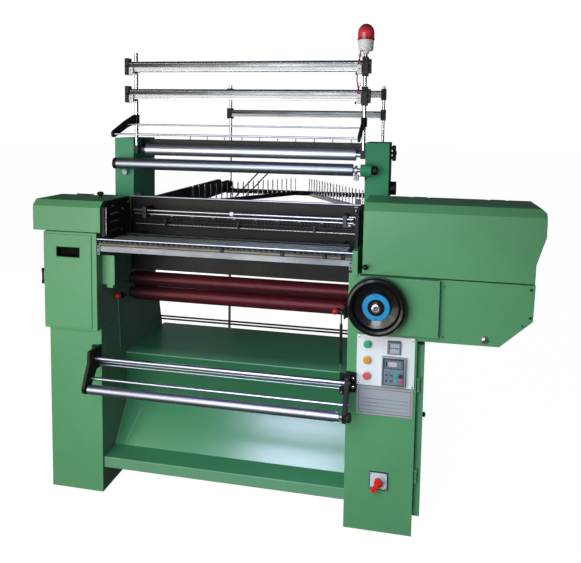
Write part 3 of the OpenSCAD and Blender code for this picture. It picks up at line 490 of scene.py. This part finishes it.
# ------------------------------------------------------------------ mesh tools (millimetres)
class Shape:
    def __init__(s):
        s.bm = bmesh.new()
        s.mi = 0
        s.mats = []

    def use(s, mat):
        if mat not in s.mats:
            s.mats.append(mat)
        s.mi = s.mats.index(mat)
        return s

    def add(s, pts, faces):
        vs = [s.bm.verts.new(p) for p in pts]
        out = []
        for f in faces:
            face = s.bm.faces.new([vs[i] for i in f])
            face.material_index = s.mi
            out.append(face)
        bmesh.ops.recalc_face_normals(s.bm, faces=out)
        return vs

    def box(s, x0, x1, y0, y1, z0, z1, b=0.6, turn=None, at=None):
        b = min(b, abs(x1 - x0) * 0.45, abs(y1 - y0) * 0.45, abs(z1 - z0) * 0.45)
        X, Y, Z = (x0, x1), (y0, y1), (z0, z1)
        iX, iY, iZ = (x0 + b, x1 - b), (y0 + b, y1 - b), (z0 + b, z1 - b)
        pts, ix = [], {}
        for i in (0, 1):
            for j in (0, 1):
                for k in (0, 1):
                    for a, p in (("x", (X[i], iY[j], iZ[k])), ("y", (iX[i], Y[j], iZ[k])), ("z", (iX[i], iY[j], Z[k]))):
                        ix[a, i, j, k] = len(pts)
                        pts.append(Vector(p))
        F = []
        loop = ((0, 0), (1, 0), (1, 1), (0, 1))
        for i in (0, 1):
            F.append([ix["x", i, a, c] for a, c in loop])
            F.append([ix["y", a, i, c] for a, c in loop])
            F.append([ix["z", a, c, i] for a, c in loop])
        for j, k in loop:
            F.append([ix["y", 0, j, k], ix["y", 1, j, k], ix["z", 1, j, k], ix["z", 0, j, k]])
            F.append([ix["x", j, 0, k], ix["x", j, 1, k], ix["z", j, 1, k], ix["z", j, 0, k]])
            F.append([ix["x", j, k, 0], ix["x", j, k, 1], ix["y", j, k, 1], ix["y", j, k, 0]])
        for i in (0, 1):
            for j in (0, 1):
                for k in (0, 1):
                    F.append([ix[a, i, j, k] for a in "xyz"])
        if turn is not None:
            c = Vector(at)
            pts = [c + turn @ (p - c) for p in pts]
        s.add(pts, F)

    def lathe(s, at, axis, prof, n=24, ring=False):
        """prof: (radius, height) pairs along axis; ring joins the last pair to the first and leaves the bore open."""
        at, axis = Vector(at), Vector(axis).normalized()
        u = axis.orthogonal().normalized()
        v = axis.cross(u)
        pts, rings = [], []
        for r, h in prof:
            if r < 1e-6:
                rings.append([len(pts)])
                pts.append(at + axis * h)
            else:
                rings.append(list(range(len(pts), len(pts) + n)))
                pts += [at + axis * h + r * (math.cos(2 * math.pi * k / n) * u + math.sin(2 * math.pi * k / n) * v) for k in range(n)]
        F = []
        for a, b in zip(rings, rings[1:] + (rings[:1] if ring else [])):
            if len(a) == 1 and len(b) == 1:
                continue
            for k in range(n):
                k2 = (k + 1) % n
                if len(a) == 1:
                    F.append([a[0], b[k], b[k2]])
                elif len(b) == 1:
                    F.append([a[k], b[0], a[k2]])
                else:
                    F.append([a[k], b[k], b[k2], a[k2]])
        for end in (rings[0], rings[-1]):
            if len(end) > 1 and not ring:
                F.append(end)
        s.add(pts, F)

    def rod(s, a, b, r, n=16, c=None):
        a, b = Vector(a), Vector(b)
        l = (b - a).length
        c = min(r * 0.25, l * 0.2) if c is None else c
        s.lathe(a, b - a, [(r - c, 0), (r, c), (r, l - c), (r - c, l)], n)

    def bolt(s, at, axis, r, h, hexa=True):
        """Washer, then a six-sided or round head."""
        at, axis = Vector(at), Vector(axis).normalized()
        s.lathe(at, axis, [(r * 1.35, 0), (r * 1.35, h * 0.22), (r * 1.25, h * 0.3)], 20)
        s.lathe(at + axis * h * 0.3, axis, [(r, 0), (r, h * 0.5), (r * 0.82, h * 0.7)], 6 if hexa else 18)

    def tube(s, pts, r, n=8):
        pts = [Vector(p) for p in pts]
        rings, allp = [], []
        t = (pts[1] - pts[0]).normalized()
        u = t.orthogonal().normalized()
        for i, p in enumerate(pts):
            t2 = (pts[min(i + 1, len(pts) - 1)] - pts[max(i - 1, 0)]).normalized()
            u = (u - t2 * u.dot(t2)).normalized()
            v = t2.cross(u)
            rings.append(list(range(len(allp), len(allp) + n)))
            allp += [p + r * (math.cos(2 * math.pi * k / n) * u + math.sin(2 * math.pi * k / n) * v) for k in range(n)]
        F = [[a[k], b[k], b[(k + 1) % n], a[(k + 1) % n]] for a, b in zip(rings, rings[1:]) for k in range(n)]
        s.add(allp, F + [rings[0], rings[-1]])

    def slab(s, pts, axis, a0, a1):
        """Flat outline drawn out along axis 0, 1 or 2; pts give the other two coordinates in order."""
        def full(p, a):
            q = list(p)
            q.insert(axis, a)
            return Vector(q)
        n = len(pts)
        P2 = [full(p, a0) for p in pts] + [full(p, a1) for p in pts]
        F = [[i, (i + 1) % n, n + (i + 1) % n, n + i] for i in range(n)] + [list(range(n)), list(range(n, 2 * n))]
        s.add(P2, F)

    def done(s, name, body, slot, angle=38.0):
        me = bpy.data.meshes.new(name)
        for v in s.bm.verts:
            v.co = P(*v.co)
        s.bm.to_mesh(me)
        s.bm.free()
        for mt in s.mats:
            me.materials.append(mt)
        me.shade_smooth()
        me.set_sharp_from_angle(angle=math.radians(angle))
        o = bpy.data.objects.new(name, me)
        scene.collection.objects.link(o)
        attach(o, body)
        return o


def smooth_path(pts, steps=6):
    """Catmull-Rom through the points."""
    pts = [Vector(p) for p in pts]
    out = []
    for i in range(len(pts) - 1):
        p0, p1, p2, p3 = pts[max(i - 1, 0)], pts[i], pts[i + 1], pts[min(i + 2, len(pts) - 1)]
        for k in range(steps):
            t = k / steps
            out.append(0.5 * ((2 * p1) + (p2 - p0) * t + (2 * p0 - 5 * p1 + 4 * p2 - p3) * t * t + (3 * p1 - p0 - 3 * p2 + p3) * t ** 3))
    out.append(pts[-1])
    return out


# ------------------------------------------------------------------ knitting head details
# Needles: flat shanks with a turned-up hook, butted against the needle bar
s = Shape().use(needle_steel)
x = -592.0
i = 0
while x <= 262.0:
    tip = -4.0 + (0.8 if i % 2 else 0.0)
    s.add([Vector(p) for p in ((x - 1.3, 124, 976.4), (x + 1.3, 124, 976.4), (x + 1.3, 124, 978.3), (x - 1.3, 124, 978.3),
                               (x - 1.1, tip + 9, 976.4), (x + 1.1, tip + 9, 976.4), (x + 1.1, tip + 9, 978.0), (x - 1.1, tip + 9, 978.0),
                               (x - 0.35, tip, 977.2), (x + 0.35, tip, 977.2), (x + 0.35, tip + 1, 979.6), (x - 0.35, tip + 1, 979.6),
                               (x - 0.35, tip + 5, 979.9), (x + 0.35, tip + 5, 979.9), (x + 0.35, tip + 5, 979.0), (x - 0.35, tip + 5, 979.0))],
          [[0, 1, 2, 3], [0, 4, 5, 1], [1, 5, 6, 2], [2, 6, 7, 3], [3, 7, 4, 0], [4, 8, 9, 5], [5, 9, 10, 6], [6, 10, 14, 15, 11, 7], [7, 11, 8, 4],
           [8, 11, 12, 13, 10, 9], [10, 13, 14], [13, 12, 15, 14], [12, 11, 15]])
    x += 9.8
    i += 1
for k in range(11):
    bx0 = xl + 100 + 70 * k
    s.bolt((bx0 + 12, 118, 974), (0, -1, 0), 3.0, 1.4)
s.done("latch_needles", "needles", "steel")

# Thin yarn wires across the needle row, held in two end blocks
s = Shape().use(wire_steel)
for ya, yb, z in ((12, 16, 981.6), (24, 31, 981.6), (38, 45, 982.0), (54, 58, 982.2), (72, 78, 982.4)):
    s.rod((xl + 40, ya, z), (xr - 6, yb, z), 1.15, 10)
s.use(black_plastic)
s.box(xl + 30, xl + 40.5, 6, 84, 976.2, 986, 1.2)
s.box(xr - 6.5, xr + 5, 8, 88, 976.2, 986, 1.2)
s.done("yarn_wires", "machine", "chrome")

# Sinker strip under the front bar, with its clips and bolts
s = Shape().use(sinker_steel)
s.box(xl + 4, xr + 12, -22, -17, 961, 969, 0.8)
s.use(black_plastic)
for xb in (-165, 52, 200, 262):
    s.box(xb - 7, xb + 7, -25.5, -16.5, 960, 977, 1.2)
s.use(dark_steel)
for xb in (-165, 52, 200):
    s.bolt((xb, -25.5, 968), (0, -1, 0), 3.6, 4.0)
s.done("sinker_strip", "machine", "chrome")

s = Shape().use(flat_bar_steel)
s.box(xl + 2, xr + 12, -25.4, -23.0, 940, 958, 0.7)
for xb in (-470, -190, 95, 235):
    s.lathe((xb, -25.4, 949), (0, -1, 0), [(3.2, 0), (3.2, 0.5), (2.4, 0.9), (1.3, 0.5)], 18)
s.use(bar_clip)
for x0, z0, z1 in ((xl + 1.0, 926, 962), (xr + 2, 926, 960)):
    s.box(x0, x0 + 12, -29, -23.2, z0, z1, 1.4)
    s.use(black_plastic)
    for zb in (z0 + 9, z1 - 9):
        s.lathe((x0 + 6, -29, zb), (0, -1, 0), [(3.0, 0), (3.0, 1.2), (1.2, 0.7)], 16)
    s.use(bar_clip)
s.done("flat_bar_trim", "machine", "chrome")

# Inner face of the left end plate: sliders in the slots, a tension wire, small bolts
s = Shape().use(chrome_small)
for z in (1007, 1039, 1069):
    s.rod((xl + 24, 24, z), (xl + 24, 90, z), 3.2)
s.rod((xl + 30.5, -13, 1004), (xl + 30.5, -13, 1096), 1.6, 10)
for z in (1000, 1052, 1098):
    s.bolt((xl + 28, -13, z), (1, 0, 0), 3.0, 4.2)
for y, z in ((112, 1000), (120, 1078), (168, 1100), (40, 1100)):
    s.bolt((xl + 28, y, z), (1, 0, 0), 3.4, 3.6)
s.done("plate_sliders", "machine", "steel")

# Right end of the head: rod ends, clamp block, upright wire
s = Shape().use(chrome_small)
s.rod((xr - 4, 240, 985), (xr - 4, 240, 1096), 2.2, 12)
for z in (1040, 1068):
    s.rod((xr - 30, 232, z), (xr + 13.5, 232, z), 3.0)
s.use(clip_white)
s.box(xr - 34, xr - 20, 224, 240, 1030, 1048, 1.5)
s.box(xr - 10, xr + 4, 232, 248, 1104, 1107.5, 0.8)
s.use(chrome_small)
for p in ((xr - 27, 224, 1039),):
    s.bolt(p, (0, -1, 0), 3.4, 4)
s.done("head_rod_ends", "machine", "steel")

# Yarn guide fingers under the lower weft bar
s = Shape().use(dark_steel)
for k in range(58):
    xg = xl + 62 + 14.2 * k
    if abs(((xg - (xl + 113)) % 85.0)) < 5 or xg > xr - 60 or xg < xl + 112:
        continue
    s.tube(smooth_path([(xg, 200, 1046.5), (xg, 200, 1036), (xg, 193, 1024), (xg, 180, 1012)], 3), 1.1, 6)
s.done("weft_guides", "weft_lower", "dark_steel")

# Warp guide rod and its plates in the depth of the head
s = Shape().use(dark_steel)
s.rod((xl + 28, 226, 1022), (xr + 14, 226, 1022), 3.0)
s.use(steel)
s.rod((xl + 28, 236, 1004), (xr + 14, 236, 1004), 2.4)
s.use(dark_steel)
for xb in (xl + 160, -180.0, xr - 160):
    s.box(xb - 4, xb + 4, 222, 249.9, 998, 1030, 1.0)
s.done("warp_guide_rods", "machine", "dark_steel")

# ------------------------------------------------------------------ yarn stop rails
s = Shape()
for x0, x1, y, zs in ((xl - 7, xr + 3, 255, (1612, 1504)), (xl + 33, xr - 2, 1520, (1572, 1455))):
    for z in zs:
        s.use(strip_dark)
        s.slab([(y + 7.05, z + 19.6), (y + 2.2, z + 19.6), (y + 1.4, z + 22), (y + 1.4, z + 29), (y + 2.6, z + 31.4), (y + 7.05, z + 31.4)], 0, x0, x1)
        s.use(strip_pale)
        s.slab([(y + 7.05, z + 6.2), (y + 1.6, z + 6.2), (y + 0.8, z + 7.6), (y + 0.8, z + 17), (y + 2.0, z + 19.2), (y + 7.05, z + 19.2)], 0, x0, x1)
        s.use(chrome_x)
        s.rod((x0, y + 2.2, z + 32.4), (x1, y + 2.2, z + 32.4), 1.5, 12)
s.done("rail_strips", "machine", "grey_metal")

# Connector blocks at the right ends, their leads, and clamp screws
s = Shape()
for z in (1596, 1488):
    s.use(rail_clip)
    s.box(xr - 14, xr + 3.6, 243.5, 254.8, z + 4, z + 40, 1.6)
    s.use(black_plastic)
    s.lathe((xr - 5, 243.5, z + 24), (0, -1, 0), [(2.4, 0), (2.4, 0.9), (1.0, 0.5)], 14)
    s.box(xr - 20, xr - 14, 246, 254.8, z + 2, z + 12, 1.2)
    s.use(wire_red)
    s.tube(smooth_path([(xr - 9, 246, z + 39), (xr - 12, 243, z + 52), (xr - 4, 242, z + 62), (xr - 9, 244, z + 74), (xr - 6, 249, z + 80)], 5), 1.3, 8)
    s.use(wire_black)
    s.tube(smooth_path([(xr - 2, 246, z + 39), (xr + 1, 243, z + 50), (xr - 6, 241, z + 60), (xr + 1, 245, z + 72), (xr - 1, 250.5, z + 78)], 5), 1.2, 8)
s.use(black_plastic)
for z in (1600, 1490):
    s.bolt((xl - 16, 251, z + 33), (0, -1, 0), 4.0, 4.0)
    s.bolt((xr + 14, 251, z + 50), (0, -1, 0), 4.0, 4.0)
    s.bolt((xr + 30.5, 262, z + 32), (0, -1, 0), 3.0, 3.4)
s.done("rail_connectors", "machine", "lamp_white")

# Left clamps: pale block with a hole, dark stop under it
s = Shape()
for z in (1600, 1490):
    s.use(rail_clip)
    s.box(xl - 4, xl + 14, 246, 254.8, z + 0.5, z + 30, 1.5)
    s.use(black_plastic)
    s.lathe((xl + 5, 246, z + 18), (0, -1, 0), [(2.4, 0), (2.4, 0.9), (1.0, 0.5)], 14)
    s.box(xl + 14, xl + 24, 248, 254.8, z + 6, z + 13, 1.0)
s.done("rail_end_blocks", "machine", "lamp_white")

# ------------------------------------------------------------------ feed rollers
s = Shape()
s.use(clip_white)
s.box(xl - 38, xl - 20, 252, 275.8, 1200, 1219, 1.6)
s.box(xr - 17, xr + 2, 246, 270, 1206, 1226, 1.6)
s.use(black_plastic)
for xb, yb, zb in ((xl - 25, 252, 1214), (xr - 7, 246, 1216)):
    s.lathe((xb, yb, zb), (0, -1, 0), [(2.4, 0), (2.4, 1.0), (1.2, 0.5)], 14)
s.use(chrome_small)
s.box(xr + 1.5, xr + 21.9, 258, 282, 1207, 1219, 1.0)
s.bolt((xl - 28, 264, 1200), (0, 0, -1), 3.6, 4.0)
s.bolt((xr - 7, 258, 1206), (0, 0, -1), 3.6, 4.0)
s.done("roller_feelers", "machine", "lamp_white")

s = Shape().use(steel)
s.lathe((xr - 13, 240, 1245), (1, 0, 0), [(8.02, 0), (15, 0), (16, 1), (16, 9), (15, 10), (8.02, 10)], 28, True)
s.bolt((xr - 8, 240, 1261), (0, 0, 1), 2.4, 3.0)
s.done("feed_collar_lower", "feed_lower", "steel")

# ------------------------------------------------------------------ control plate
s = Shape()
s.use(plastic("counter_face", (150, 157, 178), 0.34, 0.03))
s.box(xr + 139, xr + 180, -10.8, -9.9, 645, 683, 0.5)
s.use(plastic("counter_window", (196, 201, 214), 0.22, 0.02))
s.box(xr + 147, xr + 176, -11.4, -10.6, 667, 679, 0.4)
s.box(xr + 147, xr + 176, -11.4, -10.6, 650, 662, 0.4)
s.use(plastic("counter_line", (74, 82, 104), 0.4, 0.02))
s.box(xr + 141, xr + 144.5, -11.3, -10.6, 648, 680, 0.3)
s.box(xr + 147, xr + 176, -11.3, -10.6, 663.6, 665.4, 0.2)
for k in range(4):
    s.box(xr + 151 + 6.0 * k, xr + 151.8 + 6.0 * k, -11.6, -11.3, 669, 677, 0.15)
    s.box(xr + 151 + 6.0 * k, xr + 151.8 + 6.0 * k, -11.6, -11.3, 652, 660, 0.15)
s.use(unit_grey)
s.box(xr + 137, xr + 182, -8, -4.1, 685.6, 689.5, 0.6)
s.done("counter_dial", "machine", "device_grey")

s = Shape()
face = plastic("drive_face", (124, 138, 158), 0.36, 0.05)
s.use(face)
s.box(xr + 126, xr + 193, -17.7, -16.9, 540, 594, 0.5)
s.box(xr + 131, xr + 188, -15.4, -13.9, 598, 623, 0.6)
s.use(plastic("drive_rim", (172, 178, 186), 0.38, 0.04))
for x0, x1, z0, z1 in ((xr + 119.5, xr + 124, 533, 635), (xr + 195, xr + 199.5, 533, 635), (xr + 123.5, xr + 195.5, 533, 537), (xr + 123.5, xr + 195.5, 631, 635)):
    s.box(x0, x1, -18.6, -4.1, z0, z1, 1.2)
s.use(plastic("drive_inner_rim", (44, 52, 62), 0.40, 0.04))
for x0, x1, z0, z1 in ((xr + 124.2, xr + 127, 537.2, 630.8), (xr + 192, xr + 194.8, 537.2, 630.8), (xr + 127, xr + 192, 537.2, 540), (xr + 127, xr + 192, 628, 630.8)):
    s.box(x0, x1, -18.2, -17.02, z0, z1, 0.4)
s.use(plastic("drive_digits", (208, 200, 208), 0.3, 0.02))
s.box(xr + 141, xr + 170, -15.9, -15.3, 603, 618, 0.5)
s.use(black_plastic)
s.box(xr + 134, xr + 138, -15.9, -15.3, 602, 619, 0.5)
key_dark = plastic("key_dark", (46, 54, 68), 0.40, 0.05)
key_cyan = plastic("key_cyan", (64, 176, 186), 0.36, 0.04)
key_red = plastic("key_red", (214, 84, 126), 0.36, 0.04)
for a in range(4):
    for b in range(2):
        x0, z0 = xr + 130 + 15.5 * a, 548 + 20 * b
        s.use(key_cyan if a == 2 else key_red if (a, b) == (3, 0) else face)
        s.box(x0 - 0.4, x0 + 12.4, -20.2, -18.7, z0 - 0.4, z0 + 12.4, 0.8)
        s.use(key_dark)
        if a < 2:
            s.box(x0 + 3.2, x0 + 8.8, -20.7, -20.1, z0 + 3.5, z0 + 9.0, 0.3)
        elif (a, b) == (3, 1):
            s.lathe((x0 + 6, -20.2, z0 + 6), (0, -1, 0), [(6.4, 0), (6.4, 3.2), (5.4, 4.2), (0, 4.3)], 24)
s.use(key_cyan)
s.box(xr + 161.5, xr + 172.5, -18.4, -17.6, 580.6, 592, 0.5)
s.done("drive_keypad", "machine", "device_grey")

s = Shape()
s.use(plastic("button_collar", (224, 221, 212), 0.4, 0.03))
for z in (672, 616, 561):
    s.lathe((xr + 69, -4, z), (0, -1, 0), [(13.05, 0), (15.6, 0.0), (15.6, 1.6), (14.6, 2.6), (13.05, 2.6)], 40, True)
s.done("button_collars", "machine", "panel_white")
for nm, body, z, mat in (("cap_green", "start_button", 672, green_button), ("cap_orange", "jog_button", 616, orange_button), ("cap_red", "stop_button", 561, red_button)):
    s = Shape().use(mat)
    s.lathe((xr + 69, -12.2, z), (0, -1, 0), [(9.0, 0), (12.0, 0), (12.6, 0.6), (12.6, 2.6), (11.6, 3.8), (6.0, 4.3), (0, 4.4)], 40)
    s.done(nm, body, {"cap_green": "button_green", "cap_orange": "button_orange", "cap_red": "button_red"}[nm])

# Name plate left bare: a thin red border and plain ruled lines
s = Shape().use(plastic("plate_border", (150, 52, 58), 0.42, 0.03))
a0, a1, b0, b1 = xr + 43, xr + 220, 428, 514
for x0, x1, z0, z1 in ((a0, a1, b0, b0 + 1.6), (a0, a1, b1 - 1.6, b1), (a0, a0 + 1.6, b0, b1), (a1 - 1.6, a1, b0, b1)):
    s.box(x0, x1, -2.35, -1.95, z0, z1, 0.1)
s.use(plastic("plate_rules", (88, 88, 96), 0.45, 0.03))
for k, z in enumerate((478, 465, 452, 439)):
    s.box(a0 + 8, a1 - 8, -2.3, -1.95, z, z + 1.0, 0.1)
s.done("plate_lines", "machine", "plate_grey")

# Main switch: dark rim round the plate, pointer on the grip
s = Shape().use(plastic("switch_rim", (46, 52, 58), 0.40, 0.06))
sx, sz = xr + 119, 188
for x0, x1, z0, z1 in ((sx - 32, sx + 32, sz + 29, sz + 32), (sx - 32, sx + 32, sz - 32, sz - 29), (sx - 32, sx - 29, sz - 29, sz + 29), (sx + 29, sx + 32, sz - 29, sz + 29)):
    s.box(x0, x1, -6.2, -0.1, z0, z1, 0.8)
s.done("switch_rim", "machine", "device_grey")
s = Shape().use(knob_red)
t = Matrix.Rotation(math.radians(35), 3, "Y")
s.box(sx - 2.0, sx + 2.0, -33.2, -31.9, sz - 32.5, sz - 6.0, 0.6, t, (sx, 0, sz))
s.lathe((sx, -31.9, sz), (0, -1, 0), [(4.4, 0), (4.4, 0.5), (3.6, 0.9), (0, 1.0)], 24)
s.done("switch_grip", "main_switch", "button_red")

# ------------------------------------------------------------------ casings: pull, screws
s = Shape().use(plastic("pull_black", (9, 9, 10), 0.75, 0.10, spec=0.08))
hx0, hx1, hz0, hz1 = xl - 156, xl - 70, 916, 946
for x0, x1, z0, z1 in ((hx0 - 4, hx1 + 4, hz1 - 1, hz1 + 4), (hx0 - 4, hx1 + 4, hz0 - 4, hz0 + 1), (hx0 - 4, hx0 + 1, hz0 + 1, hz1 - 1), (hx1 - 1, hx1 + 4, hz0 + 1, hz1 - 1)):
    s.box(x0, x1, -35.2, -33.32, z0, z1, 0.7)
for x0, x1, z0, z1 in ((hx0 + 0.1, hx1 - 0.1, hz1 - 2.2, hz1 - 0.1), (hx0 + 0.1, hx1 - 0.1, hz0 + 0.1, hz0 + 2.2), (hx0 + 0.1, hx0 + 2.2, hz0 + 2.2, hz1 - 2.2), (hx1 - 2.2, hx1 - 0.1, hz0 + 2.2, hz1 - 2.2)):
    s.box(x0, x1, -34.6, -16, z0, z1, 0.4)
s.box(hx0 + 0.2, hx1 - 0.2, -17, -15, hz0 + 0.2, hz1 - 0.2, 0.5)
s.done("door_pull", "case_door", "black_plastic")

s = Shape()
for px_, pz in ((xr + 584, 898), (xr + 584, 806)):
    s.use(dark_steel)
    s.lathe((px_, -23, pz), (0, -1, 0), [(4.4, 0), (4.4, 0.5), (3.2, 0.9), (2.6, 0.4)], 20)
bx_, bz_ = xr + 447, 723
s.use(chrome_small)
s.lathe((bx_, -29, bz_), (0, -1, 0), [(9.0, 0), (9.2, 1.0), (8.6, 2.6), (7.2, 3.2), (0, 3.4)], 32)
s.use(dark_steel)
s.box(bx_ - 7.4, bx_ + 7.4, -32.6, -31.9, bz_ - 1.0, bz_ + 1.0, 0.2, Matrix.Rotation(math.radians(-28), 3, "Y"), (bx_, -32, bz_))
for x_ in (xr + 41, xr + 222):
    for z_ in (533, 695):
        s.use(chrome_small)
        s.lathe((x_, -5.6, z_), (0, -1, 0), [(3.1, 0), (2.8, 0.6), (1.4, 1.0), (0, 1.05)], 18)
        s.use(dark_steel)
        s.box(x_ - 2.0, x_ + 2.0, -6.8, -6.4, z_ - 0.4, z_ + 0.4, 0.1)
s.done("screw_heads", "machine", "steel")

# ------------------------------------------------------------------ handwheel face
s = Shape().use(plastic("ring_mark", (16, 40, 58), 0.4, 0.03))
for sg in (1, -1):
    for d in (-4.2, 0, 4.2):
        s.box(wx + d - 1.5, wx + d + 1.5, -80.35, -79.9, wz + sg * 38 - 1.2, wz + sg * 38 + 1.2, 0.2)
s.use(chrome_small)
s.lathe((wx, -91.9, wz), (0, -1, 0), [(14.4, 0), (13.6, 1.6), (10.4, 2.4), (9.6, 1.4), (6.0, 1.2)], 40)
s.use(black_plastic)
s.lathe((wx, -92.4, wz), (0, -1, 0), [(6.0, 0.4), (5.6, 1.0), (3.0, 0.5), (0, 0.4)], 24)
s.done("wheel_cap", "wheel", "chrome")

# ------------------------------------------------------------------ batching frame
s = Shape().use(black_plastic)
lobes = []
for k in range(72):
    a = 2 * math.pi * k / 72
    lobes.append((-105 + (14.5 + 2.6 * math.cos(6 * a)) * math.cos(a), 451 + (14.5 + 2.6 * math.cos(6 * a)) * math.sin(a)))
s.slab(lobes, 0, xr + 17, xr + 27)
s.lathe((xr + 27, -105, 451), (1, 0, 0), [(10.5, 0), (10.5, 2), (9.0, 3.4), (5.5, 3.4)], 28)
s.use(chrome_small)
s.lathe((xr + 11.9, -105, 451), (1, 0, 0), [(5.8, 0), (5.8, 19.5), (5.2, 20.4), (0, 20.6)], 20)
s.lathe((xr - 23.8, -105, 451), (1, 0, 0), [(6.05, 0), (15.4, 0), (16.2, 0.8), (16.2, 12.2), (15.4, 13.0), (6.05, 13.0)], 36, True)
s.done("batch_hand_knob", "batch", "black_plastic")

s = Shape().use(chrome_small)
for y, z in ((-45, 543), (-75, 479)):
    s.bolt((xr + 14, y, z), (1, 0, 0), 5.0, 5.0)
    s.bolt((xl - 12, y, z), (-1, 0, 0), 5.0, 5.0)
for xb, zb in ((xl - 24, 556), (xl - 24, 528), (xr + 24, 548), (xr + 24, 518)):
    s.lathe((xb, -16, zb), (0, -1, 0), [(5.6, 0), (5.2, 1.4), (3.4, 2.2), (0, 2.4)], 22)
s.use(black_paint)
s.box(xr - 22, xr + 34, -15.4, -12.0, 500, 566, 1.0)
s.box(xr - 17, xr - 0.2, -64, -48, 508, 534, 1.5)
s.use(chrome_small)
s.bolt((xr - 9, -64, 515), (0, -1, 0), 3.4, 4.0)
s.done("batch_bolts", "machine", "steel")

s = Shape().use(chrome_small)
for y, z in ((156, 745), (156, 716)):
    s.bolt((xr - 30, y, z), (-1, 0, 0), 4.0, 5.0)
for y, z in ((24, 802), (24, 786), (66, 770)):
    s.bolt((xr, y, z), (-1, 0, 0), 4.0, 5.5)
s.done("inner_bolts", "machine", "steel")

# Fold lines at the left end of the scoop and along the deck and lip edges, in a lighter paint that is a painted
# highlight
s = Shape().use(paint("tray_fold_painted_highlight", (132, 192, 156), rough=0.3, wear_and_edge_highlight=0.0))
s.tube([(-600.0, 101.0, 143.6), (-567.2, 185.4, 257.2)], 1.5, 8)
s.tube([(xl + 1.6, 99.6, 141.8), (xl + 1.6, 202.4, 280.2)], 1.6, 8)
s.tube([(xl + 0.5, 194.2, 480.0), (xr - 0.5, 194.2, 480.0)], 2.4, 10)
s.tube([(xl + 0.5, 9.6, 134.4), (xr - 0.5, 9.6, 134.4)], 1.7, 8)
s.done("scoop_folds", "machine", "tray_paint")

# ------------------------------------------------------------------ lamp
s = Shape().use(plastic("lamp_rim", (70, 16, 22), 0.35, 0.05))
cxl, cyl = xr + 13, 287
s.lathe((cxl, cyl, 1729.2), (0, 0, 1), [(29.3, 0), (32.0, 0.2), (32.0, 0.7), (29.3, 0.75)], 48, True)
s.use(lamp_white)
s.lathe((cxl, cyl, 1690.2), (0, 0, -1), [(7.05, 0), (12.5, 0), (12.0, 9), (9.5, 12), (7.05, 12)], 32, True)
s.use(lamp_white)
s.lathe((cxl, cyl, 1697), (0, 0, 1), [(27.3, 0), (28.6, 0.8), (28.6, 2.2), (27.5, 3.0)], 48, True)
s.done("lamp_rim", "machine", "lamp_white")

# ------------------------------------------------------------------ stage and light
def area(name, at, to, w, h, power, colour=(1, 1, 1)):
    d = bpy.data.lights.new(name, "AREA")
    d.shape = "RECTANGLE"
    d.size, d.size_y, d.energy, d.color = w, h, power, colour
    o = bpy.data.objects.new(name, d)
    scene.collection.objects.link(o)
    at, to = P(*at), P(*to)
    o.location = at
    o.rotation_mode = "QUATERNION"
    o.rotation_quaternion = (to - at).to_track_quat("-Z", "Y")
    return o


area("key", (-1350, -2900, 1380), (-80, 100, 720), 3.0, 1.9, 75, (1.0, 0.960, 0.855))
area("low", (-1300, -2300, 320), (-450, 0, 330), 1.8, 0.7, 11, (1.0, 0.965, 0.90))
area("front", (200, -3000, 1330), (380, -70, 790), 0.9, 0.42, 6.0, (0.88, 0.94, 1.0)).visible_glossy = False
area("glint", (160, -3000, 1330), (380, -70, 790), 0.8, 0.36, 26.0, (0.84, 0.92, 1.0)).visible_diffuse = False
area("right", (2700, -500, 1000), (300, 100, 600), 1.2, 1.2, 0.45, (0.90, 0.97, 1.0))
area("back", (-2300, 3500, 450), (-100, 700, 560), 2.0, 0.6, 40, (0.96, 0.98, 1.0))
area("left", (-3700, 600, 560), (-700, 400, 620), 2.2, 0.9, 26, (0.98, 0.98, 1.0))
upper = area("upper", (-290, -1600, 1990), (110, 150, 210), 0.75, 1.1, 2.85, (0.70, 0.66, 1.0))
upper.data.spread = math.radians(46)
upper.visible_diffuse = False
fill = area("fill", (-100, -1700, 1900), (180, 100, 300), 0.9, 1.1, 2.7, (0.60, 0.84, 1.0))
fill.data.spread = math.radians(60)
fill.visible_glossy = False

world = bpy.data.worlds.new("studio")
scene.world = world
world.use_nodes = True
bg = world.node_tree.nodes["Background"]
bg.inputs["Color"].default_value = (0.82, 0.86, 0.92, 1.0)
bg.inputs["Strength"].default_value = 0.07


def stage_mesh(name, verts, faces, emit, base):
    me = bpy.data.meshes.new(name)
    me.from_pydata(verts, [], faces)
    o = bpy.data.objects.new(name, me)
    scene.collection.objects.link(o)
    mt = bpy.data.materials.new(name)
    mt.use_nodes = True
    b = mt.node_tree.nodes["Principled BSDF"]
    b.inputs["Base Color"].default_value = (base, base, base, 1)
    b.inputs["Roughness"].default_value = 0.9
    b.inputs["Emission Color"].default_value = (1, 1, 1, 1)
    b.inputs["Emission Strength"].default_value = emit
    me.materials.append(mt)
    o.visible_diffuse = o.visible_glossy = o.visible_transmission = False
    return o


R0 = 45.0
stage_mesh("floor", [(-R0, -R0, 0), (R0, -R0, 0), (R0, R0, 0), (-R0, R0, 0)], [(0, 1, 2, 3)], 0.985, 0.06)
dome_v, dome_f, nu, nv = [], [], 48, 14
for j in range(nv + 1):
    el = math.radians(-6 + 96 * j / nv)
    for k in range(nu):
        az = 2 * math.pi * k / nu
        dome_v.append((40 * math.cos(el) * math.cos(az), 40 * math.cos(el) * math.sin(az), 40 * math.sin(el)))
for j in range(nv):
    for k in range(nu):
        dome_f.append((j * nu + k, j * nu + (k + 1) % nu, (j + 1) * nu + (k + 1) % nu, (j + 1) * nu + k))
backdrop = stage_mesh("backdrop", dome_v, dome_f, 1.0, 0.02)
backdrop.visible_shadow = False

scene.view_settings.view_transform = "Standard"
scene.view_settings.look = "None"
